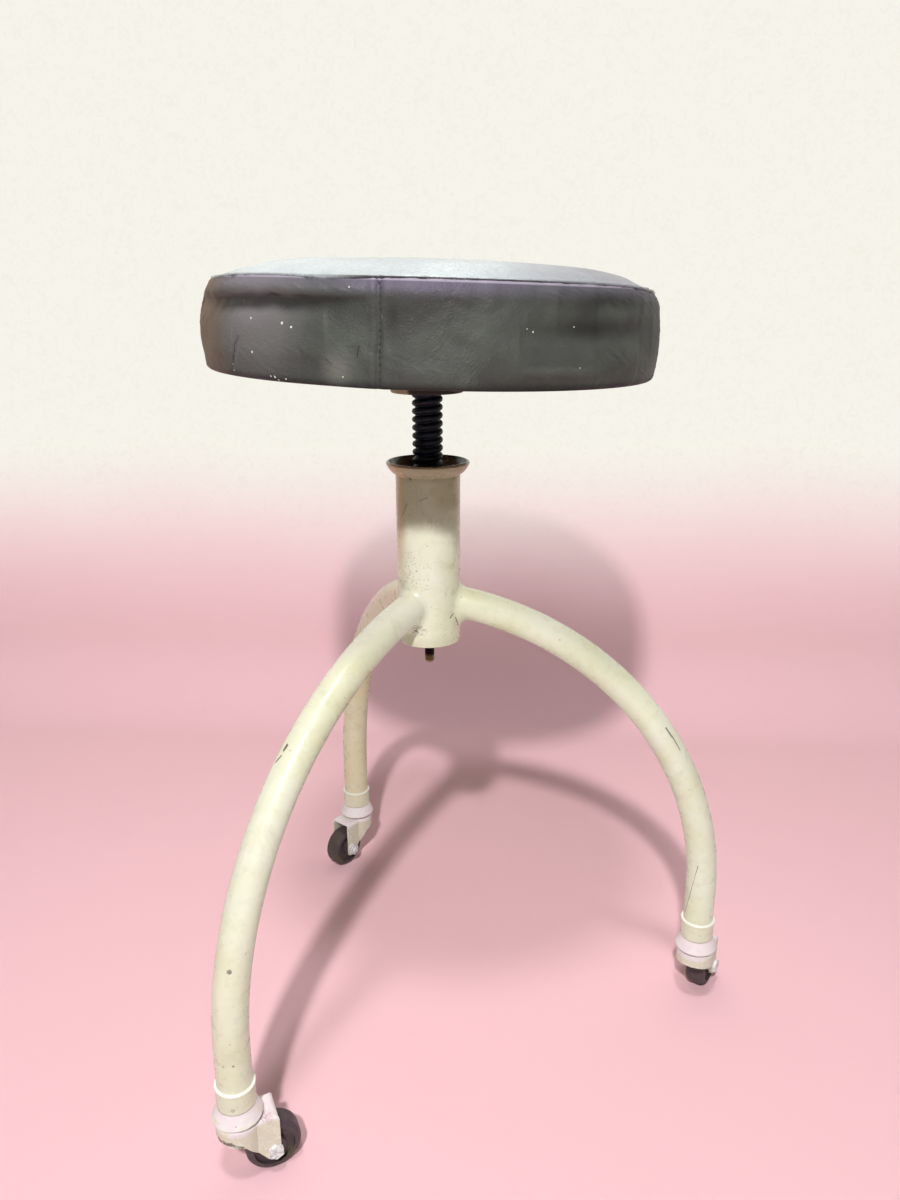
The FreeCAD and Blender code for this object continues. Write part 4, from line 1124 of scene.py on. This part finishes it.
def slanting_wrinkles(paint):
    """Hairline wrinkles that run aslant to the right of the front seam."""
    x, z = paint.axis("X"), paint.axis("Z")
    cosine, sine = math.cos(WRINKLE_LEAN), math.sin(WRINKLE_LEAN)
    across = paint.scale_add(x, sine, paint.times(z, -cosine))
    along = paint.scale_add(x, cosine, paint.times(z, sine))
    turned = paint.put("ShaderNodeCombineXYZ", "Vector", {
        "X": across, "Y": paint.times(along, WRINKLE_STRETCH)})
    lines = paint.noise(WRINKLE_SIZE, 3.0, 0.5, 0.5, turned)
    lines = paint.step(paint.math("ABSOLUTE", paint.minus(lines, 0.5)), 0.0, 0.06)
    there = paint.times(paint.climb(x, WRINKLE_LEFT, WRINKLE_LEFT + 14),
                        paint.climb(x, WRINKLE_RIGHT, WRINKLE_RIGHT - 30))
    there = paint.times(there, paint.patches(0.38, 0.55, 16, 2.0))
    return paint.times(paint.minus(1.0, lines), there)


def band_vinyl():
    paint = Paint("vinyl_band_grey", specular_ior_level=0.25)
    relief, crease = leather(paint, 1.1, 0.35)
    wrinkles = slanting_wrinkles(paint)
    paint.bump(paint.scale_add(wrinkles, -1.0, relief), 0.12)
    cloud = paint.noise(45, 4.0, 0.6, 0.5)
    paint.colour = paint.mix(paint.step(cloud, 0.35, 0.68), VINYL_GREY, VINYL_DARK)
    paint.lay(VINYL_DARK, paint.step(crease, 0.5, 0.0), 0.12)
    paint.lay(VINYL_PALE, wrinkles, 0.12)
    paint.lay(VINYL_RUBBED, paint.smear(*BAND_RUBBED), 0.75)
    x, y, local = paint.axis("X"), paint.axis("Y"), seat_height(paint)
    # painted sheen: a lilac tint over the band's upper part, strongest across the front
    vivid = paint.times(paint.climb(x, *VIVID_FROM), paint.climb(x, *VIVID_TO))
    lilac_sheen = paint.climb(paint.plus(local, paint.wander(40, 6)), *LILAC_SHEEN_RISE)
    paint.lay(VINYL_LILAC_SHEEN, paint.times(lilac_sheen, paint.scale_add(vivid, 0.3, 0.3)))
    # painted shade darkens the hollows of the folds, and a painted highlight makes their crests paler
    hollow = paint.add("ShaderNodeAttribute", attribute_name="hollow").outputs["Fac"]
    paint.lay(VINYL_FOLD_SHADE, paint.step(hollow, *FOLD_SHADE_DEPTH), 0.82)
    paint.lay(VINYL_PALE, paint.step(hollow, *CREST_HIGHLIGHT_DEPTH), 0.55)
    # near-black towards the band's foot: dirt, and painted shade where the vinyl turns under
    paint.lay(VINYL_FOOT, paint.climb(local, *FOOT_FALL))
    ridge = paint.times(paint.climb(local, *RIDGE_RISE), paint.climb(local, *RIDGE_FALL))
    paint.lay(VINYL_RIDGE, ridge, 0.7)
    brown = paint.climb(paint.plus(x, paint.wander(18, 12)), *BROWN_LEFT)
    paint.lay(VINYL_BROWN, paint.times(brown, paint.climb(y, *BROWN_FRONT)), 0.9)
    worn = paint.times(paint.patches(0.62, 0.72, 5, 5.0, 0.7), paint.patches(0.5, 0.6, 40, 2.0))
    paint.lay(VINYL_SCUFF, worn, 0.3)
    paint.lay(VINYL_FOOT, paint.marks(BAND_CRACKS), 0.75)
    paint.lay(VINYL_SCUFF, paint.smear(*BAND_SMEAR), 0.3)
    paint.lay(SPECK_WHITE, paint.marks(BAND_SPECKS))
    paint.set("Roughness", paint.blend(cloud, 0.42, 0.62))
    return paint.done()


def cushion_band():
    rings, hollow = band_rings()
    skin = closed_skin(rings, -ring_normals(rings) * SKIN * 0.9)
    faces = ring_faces(len(skin), BAND_COLUMNS, closed_rows=True)
    points = to_stool(skin.reshape(-1, 3))
    trees["cover_band"] = BVHTree.FromPolygons([Vector(point) for point in points * MM], faces)
    band = mesh_object("cushion_band", points, faces, "seat", band_vinyl())
    depths = np.zeros(len(points), np.float32)
    depths[:hollow.size] = hollow.ravel()
    band.data.attributes.new("hollow", "FLOAT", "POINT").data.foreach_set("value", depths)
    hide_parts("cover_band", "seat_foam")
    return rings


band_grid = cushion_band()

TOP_COLUMNS = 480
SHOULDER_ROWS = 34
CROWN_ROWS = 34
UNDER_ROWS = 3
ROLL_ROWS = 7
CENTRE_RADIUS = 1.2
TOP_SOFTEN = 8
FORM_START = 10
# Broad dents in the top panel: angle, distance from the centre, width and depth
TOP_WAVES = [(-120, 80, 9.0, 0.7), (-40, 95, 12.0, 0.8), (60, 70, 14.0, 0.8), (150, 100, 11.0, 0.7),
             (200, 60, 13.0, 0.6), (-80, 30, 15.0, 0.7)]
WAVE_SPREAD = 2.4
# The top panel's edge: from under the seam to its roll, and round that to the crown
TOP_UNDER = (SEAM_RADIUS - TUCK_DEPTH, SEAM_HEIGHT - 1.0)
TOP_TUCKED = (SEAM_RADIUS - ROLL, SEAM_HEIGHT + 0.3)
TOP_ROLLED = (SEAM_RADIUS - 0.4, SEAM_HEIGHT + 2.4)
TOP_ROLL_ARC = ROLL * 0.8
CROWN_START = SEAM_HEIGHT + 2.6
SETTLE_REACH = 22
CENTRE_REACH = 30
TOP_PUCKER_SHARE = 0.9
TOP_IN_REACH = 24.0
DROP_REACH = 45.0
SHOULDER_PLACE = 26
SHOULDER_REACH = 20.0


def top_rings():
    crown = crown_profile(SHOULDER_ROWS, CROWN_ROWS, CENTRE_RADIUS)
    profile = np.vstack([
        line_points(TOP_UNDER, TOP_TUCKED, UNDER_ROWS),
        arc_points(TOP_TUCKED, TOP_ROLLED, TOP_ROLL_ARC, ROLL_ROWS),
        crown[crown[:, 1] > CROWN_START],
    ])
    normals = profile_normals(profile)
    turn, radius = np.meshgrid(round_angles(TOP_COLUMNS), profile[:, 0], indexing="xy")
    height = np.repeat(profile[:, 1][:, None], TOP_COLUMNS, 1)
    form = form_of(profile, TOP_COLUMNS, TOP_SOFTEN)
    form[:FORM_START] = form[FORM_START]
    from_edge = SEAM_RADIUS - radius
    inside = np.maximum(from_edge, 0)
    move = form * smooth_step(0, SETTLE_REACH, from_edge) * smooth_step(0, CENTRE_REACH, radius)
    near = np.exp(-inside / SEAM_REACH)
    move = move - SEAM_PUCKER * TOP_PUCKER_SHARE * near * ripple(turn, PUCKER_COUNTS, PUCKER_SEED)
    x, y = radius * np.cos(turn), radius * np.sin(turn)
    for angle, place, width, depth in TOP_WAVES:
        way = math.radians(angle)
        gap = np.hypot(x - place * math.cos(way), y - place * math.sin(way))
        move = move - depth * bell(gap, width * WAVE_SPREAD)
    drawn = around(turn, SEAM_IN) * bell(inside, TOP_IN_REACH)
    radius = radius + normals[:, 0][:, None] * move - drawn
    z = height + normals[:, 1][:, None] * move
    z = z - around(turn, SEAM_DROP) * bell(inside, DROP_REACH)
    z = z - around(turn, SHOULDER_DROP) * bell(from_edge - SHOULDER_PLACE, SHOULDER_REACH)
    return around_axis(radius, turn, z)


# The top panel is the band's grey vinyl; its pale bluish whites are painted reflection, falling back
# towards grey on the right
VINYL_TOP_LIT = srgb(198, 207, 210)
VINYL_TOP_DARK = srgb(158, 166, 172)
VINYL_TOP_LIT_PALE = srgb(216, 225, 227)
VINYL_TOP_GREY = srgb(122, 117, 135)
VINYL_TUCK_SHADE = srgb(58, 56, 62)
GREYED_RIGHT, RIM_RISE = (20, 130), (138, 160)
TUCK_SHADE_SPAN = (SEAM_HEIGHT + 1.7, SEAM_HEIGHT + 1)
TUCK_SHADE_FROM, TUCK_SHADE_TO = (-60, -20), (130, 60)


def top_vinyl():
    paint = Paint("vinyl_top_grey", specular_ior_level=0.55, coat_weight=0.25, coat_roughness=0.3)
    relief, crease = leather(paint, 1.4, 0.5)
    paint.bump(relief, 0.25)
    cloud = paint.noise(60, 4.0, 0.6, 0.5)
    x = paint.axis("X")
    # painted reflection: pale bluish white over the top, fading to grey towards +X
    paint.colour = paint.mix(paint.step(cloud, 0.38, 0.66), VINYL_TOP_LIT, VINYL_TOP_LIT_PALE)
    paint.lay(VINYL_TOP_DARK, paint.step(crease, 0.5, 0.0), 0.3)
    paint.lay(VINYL_TOP_GREY, paint.climb(paint.plus(x, paint.wander(30, 40)), *GREYED_RIGHT), 0.85)
    radius = paint.vector("LENGTH", paint.vector("MULTIPLY", paint.place, (1, 1, 0)))
    paint.lay(VINYL_TOP_DARK, paint.climb(paint.plus(radius, paint.wander(18, 26)), *RIM_RISE), 0.3)
    paint.lay(VINYL_TOP_DARK, paint.patches(0.6, 0.72, 4, 5.0, 0.7), 0.35)
    # painted shade in the crease between the top panel and the band, fading out towards both ends
    tuck_shade = paint.climb(seat_height(paint), *TUCK_SHADE_SPAN)
    to_right = paint.times(paint.scale_add(paint.climb(x, *TUCK_SHADE_FROM), 0.65, 0.3), paint.climb(x, *TUCK_SHADE_TO))
    paint.lay(VINYL_TUCK_SHADE, paint.times(tuck_shade, to_right))
    paint.set("Roughness", paint.blend(cloud, 0.3, 0.46))
    return paint.done()


def cushion_top():
    rings = top_rings()
    skin = closed_skin(rings, -ring_normals(rings) * SKIN * 0.8)
    count = len(skin) * TOP_COLUMNS
    inner = len(rings) * TOP_COLUMNS
    outer_end, inner_end = inner - TOP_COLUMNS, count - TOP_COLUMNS
    faces = ring_faces(len(rings), TOP_COLUMNS) + ring_faces(len(rings), TOP_COLUMNS, first=inner)
    # the outer rings end at the centre and the inner ones start there, so two fans close the centre
    for column in range(TOP_COLUMNS):
        after = (column + 1) % TOP_COLUMNS
        faces.append((count, outer_end + column, outer_end + after))
        faces.append((count + 1, inner + after, inner + column))
        faces.append((inner_end + column, inner_end + after, after, column))
    centres = [rings[-1].mean(axis=0), skin[len(rings)].mean(axis=0)]
    points = np.vstack([skin.reshape(-1, 3), centres])
    top = mesh_object("cushion_top", to_stool(points), faces, "seat", top_vinyl())
    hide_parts("cover_top")


cushion_top()

# Stitches in the band's upright seams, and the staples that hold its hem
STITCH_LENGTH = 2.3
STITCH_GAP = 1.5
STITCH_RADIUS = 0.34
STITCH_POINTS = 7
STITCH_LIFT = 0.5
STITCH_SUNK = 0.05
STITCH_START = HEM_HEIGHT + 5
STITCH_END = SEAM_HEIGHT - 1
TUBE_SIDES = 8
TUBE_GUIDE = (0.31, 0.17, 0.93)
STAPLE_RADIUS = 0.5
STAPLE_HALF = 5.0
STAPLE_CIRCLE = BOARD_RADIUS - 13.0
STAPLE_LOW = HEM_HEIGHT - STAPLE_RADIUS * 0.6
# A staple's bent wire, as place along its back and height, from one point to the other
STAPLE_BEND = [(STAPLE_HALF, BOARD_BASE), (STAPLE_HALF, STAPLE_LOW + 0.5), (STAPLE_HALF - 0.6, STAPLE_LOW)]
STAPLE_WIRE = [(-side, z) for side, z in STAPLE_BEND] + [(0, STAPLE_LOW)] + STAPLE_BEND[::-1]


def tube(path, radius):
    """Rings along a path of points, with rounded ends."""
    path = np.asarray(path, float)
    along = np.gradient(path, axis=0)
    along /= np.linalg.norm(along, axis=1, keepdims=True)
    first = np.cross(along, np.array(TUBE_GUIDE))
    first /= np.linalg.norm(first, axis=1, keepdims=True)
    second = np.cross(along, first)
    turn = round_angles(TUBE_SIDES)
    share = np.linspace(-1, 1, len(path))
    size = radius * np.sqrt(np.maximum(1 - share ** 4, 0.04))
    circle = first[:, None] * np.cos(turn)[:, None] + second[:, None] * np.sin(turn)[:, None]
    return path[:, None] + circle * size[:, None, None]


def many_tubes(name, paths, radius, material):
    points, faces = [], []
    count = 0
    for path in paths:
        found, here = capped(tube(path, radius))
        points.append(found)
        faces += [tuple(index + count for index in face) for face in here]
        count += len(found)
    return mesh_object(name, np.vstack(points), faces, "seat", material)


def band_point(angle, height, lift):
    """A place on the finished band, lifted off it."""
    way = math.radians(angle)
    column = int(round(way / (2 * math.pi) * BAND_COLUMNS)) % BAND_COLUMNS
    side = band_grid[SIDE_START:SIDE_END, column]
    place = np.array([np.interp(height, side[:, 2], side[:, axis]) for axis in range(3)])
    return place + np.array([math.cos(way), math.sin(way), 0]) * lift


THREAD_GREY = srgb(66, 62, 64)
THREAD_BLACK = srgb(14, 13, 13)
THREAD_PALE = srgb(80, 76, 74)


def stitches():
    paths = []
    lifts = STITCH_LIFT * np.sin(np.linspace(0, math.pi, STITCH_POINTS)) - STITCH_SUNK
    for angle in (seam_angle, BACK_SEAM_ANGLE):
        start = STITCH_START
        while start + STITCH_LENGTH < STITCH_END:
            heights = np.linspace(start, start + STITCH_LENGTH, STITCH_POINTS)
            paths.append([to_stool(band_point(angle, z, lift)) for z, lift in zip(heights, lifts)])
            start += STITCH_LENGTH + STITCH_GAP
    paint = Paint("thread_black", roughness=0.7)
    twist = paint.noise(0.7, 2.0)
    height = paint.plus(seat_height(paint), paint.wander(6, 12))
    black = paint.times(paint.climb(height, 12, 20), paint.climb(height, 44, 36))
    paint.colour = paint.mix(black, THREAD_GREY, THREAD_BLACK)
    paint.lay(THREAD_PALE, twist, 0.3)
    paint.bump(twist, 0.1)
    thread = many_tubes("seam_stitches", paths, STITCH_RADIUS, paint.done())


def staples():
    paths = []
    for angle in round_angles(STAPLE_COUNT) + math.pi / STAPLE_COUNT:
        outward = np.array([math.cos(angle), math.sin(angle), 0])
        across = np.array([-math.sin(angle), math.cos(angle), 0])
        paths.append([to_stool(outward * STAPLE_CIRCLE + across * side + np.array([0, 0, z]))
                      for side, z in STAPLE_WIRE])
    ring = many_tubes("hem_staple_ring", paths, STAPLE_RADIUS, steel_bare)
    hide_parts("hem_staples")


stitches()
staples()

# Floor and backdrop in one sweep, pink below and cream above. Its sizes are in metres
FLOOR_PINK = srgb(254, 208, 217)
WALL_CREAM = srgb(246, 244, 234)
WALL_SHADE = srgb(243, 240, 230)
BOUNCE_WHITE = srgb(226, 220, 214)
BLACK = srgb(0, 0, 0)
FLOOR_HALF = 3.0
FLOOR_NEAR = -2.5
FLOOR_FAR = 2.5
SWEEP_START = 0.5
SWEEP_RADIUS = 0.11
WALL_TOP = 3.2
SWEEP_ROWS = 24


def sweep_paper():
    paint = Paint("sweep_paper", roughness=0.9, specular_ior_level=0.1)
    share = paint.climb(paint.plus(paint.axis("Z"), paint.wander(300, 60)), 80, 420)
    wall = paint.mix(paint.patches(0.5, 0.62, 11, 5.0, 0.6, 1.5), WALL_CREAM, WALL_SHADE)
    paint.set("Emission Color", paint.mix(share, FLOOR_PINK, wall))
    # the light that it throws back on the stool is neutral, and the wall is seen at its plain colour
    rays = paint.add("ShaderNodeLightPath").outputs
    seen = paint.most(rays["Is Camera Ray"], rays["Is Glossy Ray"], rays["Is Transmission Ray"])
    paint.set("Emission Strength", paint.times(seen, share))
    paint.colour = paint.mix(seen, BOUNCE_WHITE, paint.mix(share, FLOOR_PINK, BLACK))
    # its back is clear, so that the stool is seen from behind and from below too
    back = paint.add("ShaderNodeNewGeometry").outputs["Backfacing"]
    clear = paint.add("ShaderNodeBsdfTransparent").outputs["BSDF"]
    either = paint.put("ShaderNodeMixShader", "Shader", {
        "Fac": back, 1: paint.shader.outputs["BSDF"], 2: clear})
    paint.feed(paint.tree.nodes["Material Output"].inputs["Surface"], either)
    return paint.done()


def backdrop():
    turn = np.linspace(0, math.pi / 2, SWEEP_ROWS)
    y = np.r_[FLOOR_NEAR, SWEEP_START + SWEEP_RADIUS * np.sin(turn), SWEEP_START + SWEEP_RADIUS]
    z = np.r_[0.0, SWEEP_RADIUS * (1 - np.cos(turn)), WALL_TOP]
    points = []
    for side in (-FLOOR_HALF, FLOOR_HALF):
        points += [(side, a, b) for a, b in zip(y, z)]
    rows = len(y)
    faces = [(i, rows + i, rows + i + 1, i + 1) for i in range(rows - 1)]
    # the floor goes on behind the foot of the wall
    points += [(-FLOOR_HALF, FLOOR_FAR, 0), (FLOOR_HALF, FLOOR_FAR, 0)]
    faces.append((1, rows + 1, 2 * rows + 1, 2 * rows))
    mesh = bpy.data.meshes.new("sweep")
    mesh.from_pydata(points, [], faces)
    mesh.polygons.foreach_set("use_smooth", [True] * len(faces))
    mesh.materials.append(sweep_paper())
    sweep = bpy.data.objects.new("sweep", mesh)
    scene.collection.objects.link(sweep)


backdrop()

# Light: a small lamp high in front that casts the photograph's shadow, soft panels and a pale world
LAMPS = {
    "key_lamp": ((-0.09, -1.5, 1.68), (0, 0.1, 0.3), 0.1, 31.0, (1.0, 0.98, 0.96)),
    "top_lamp": ((-0.05, -0.79, 2.6), (0, 0, 0.3), 0.3, 17.0, (1.0, 0.99, 0.98)),
    "front_panel": ((0.3, -2.3, 0.75), (0, 0, 0.4), 1.4, 3.0, (1.0, 0.99, 0.98)),
}
WORLD_COLOUR = (1.0, 0.99, 0.98, 1.0)
WORLD_STRENGTH = 0.06


def lights():
    for name, (place, aim, size, energy, colour) in LAMPS.items():
        data = bpy.data.lights.new(name, "AREA")
        data.shape = "DISK"
        data.size = size
        data.energy = energy
        data.color = colour
        lamp = bpy.data.objects.new(name, data)
        lamp.location = place
        lamp.rotation_euler = (Vector(aim) - Vector(place)).to_track_quat("-Z", "Y").to_euler()
        scene.collection.objects.link(lamp)
    world = bpy.data.worlds.new("pale_room")
    world.use_nodes = True
    background = world.node_tree.nodes["Background"]
    background.inputs["Color"].default_value = WORLD_COLOUR
    background.inputs["Strength"].default_value = WORLD_STRENGTH
    scene.world = world


lights()
scene.view_settings.view_transform = "Standard"
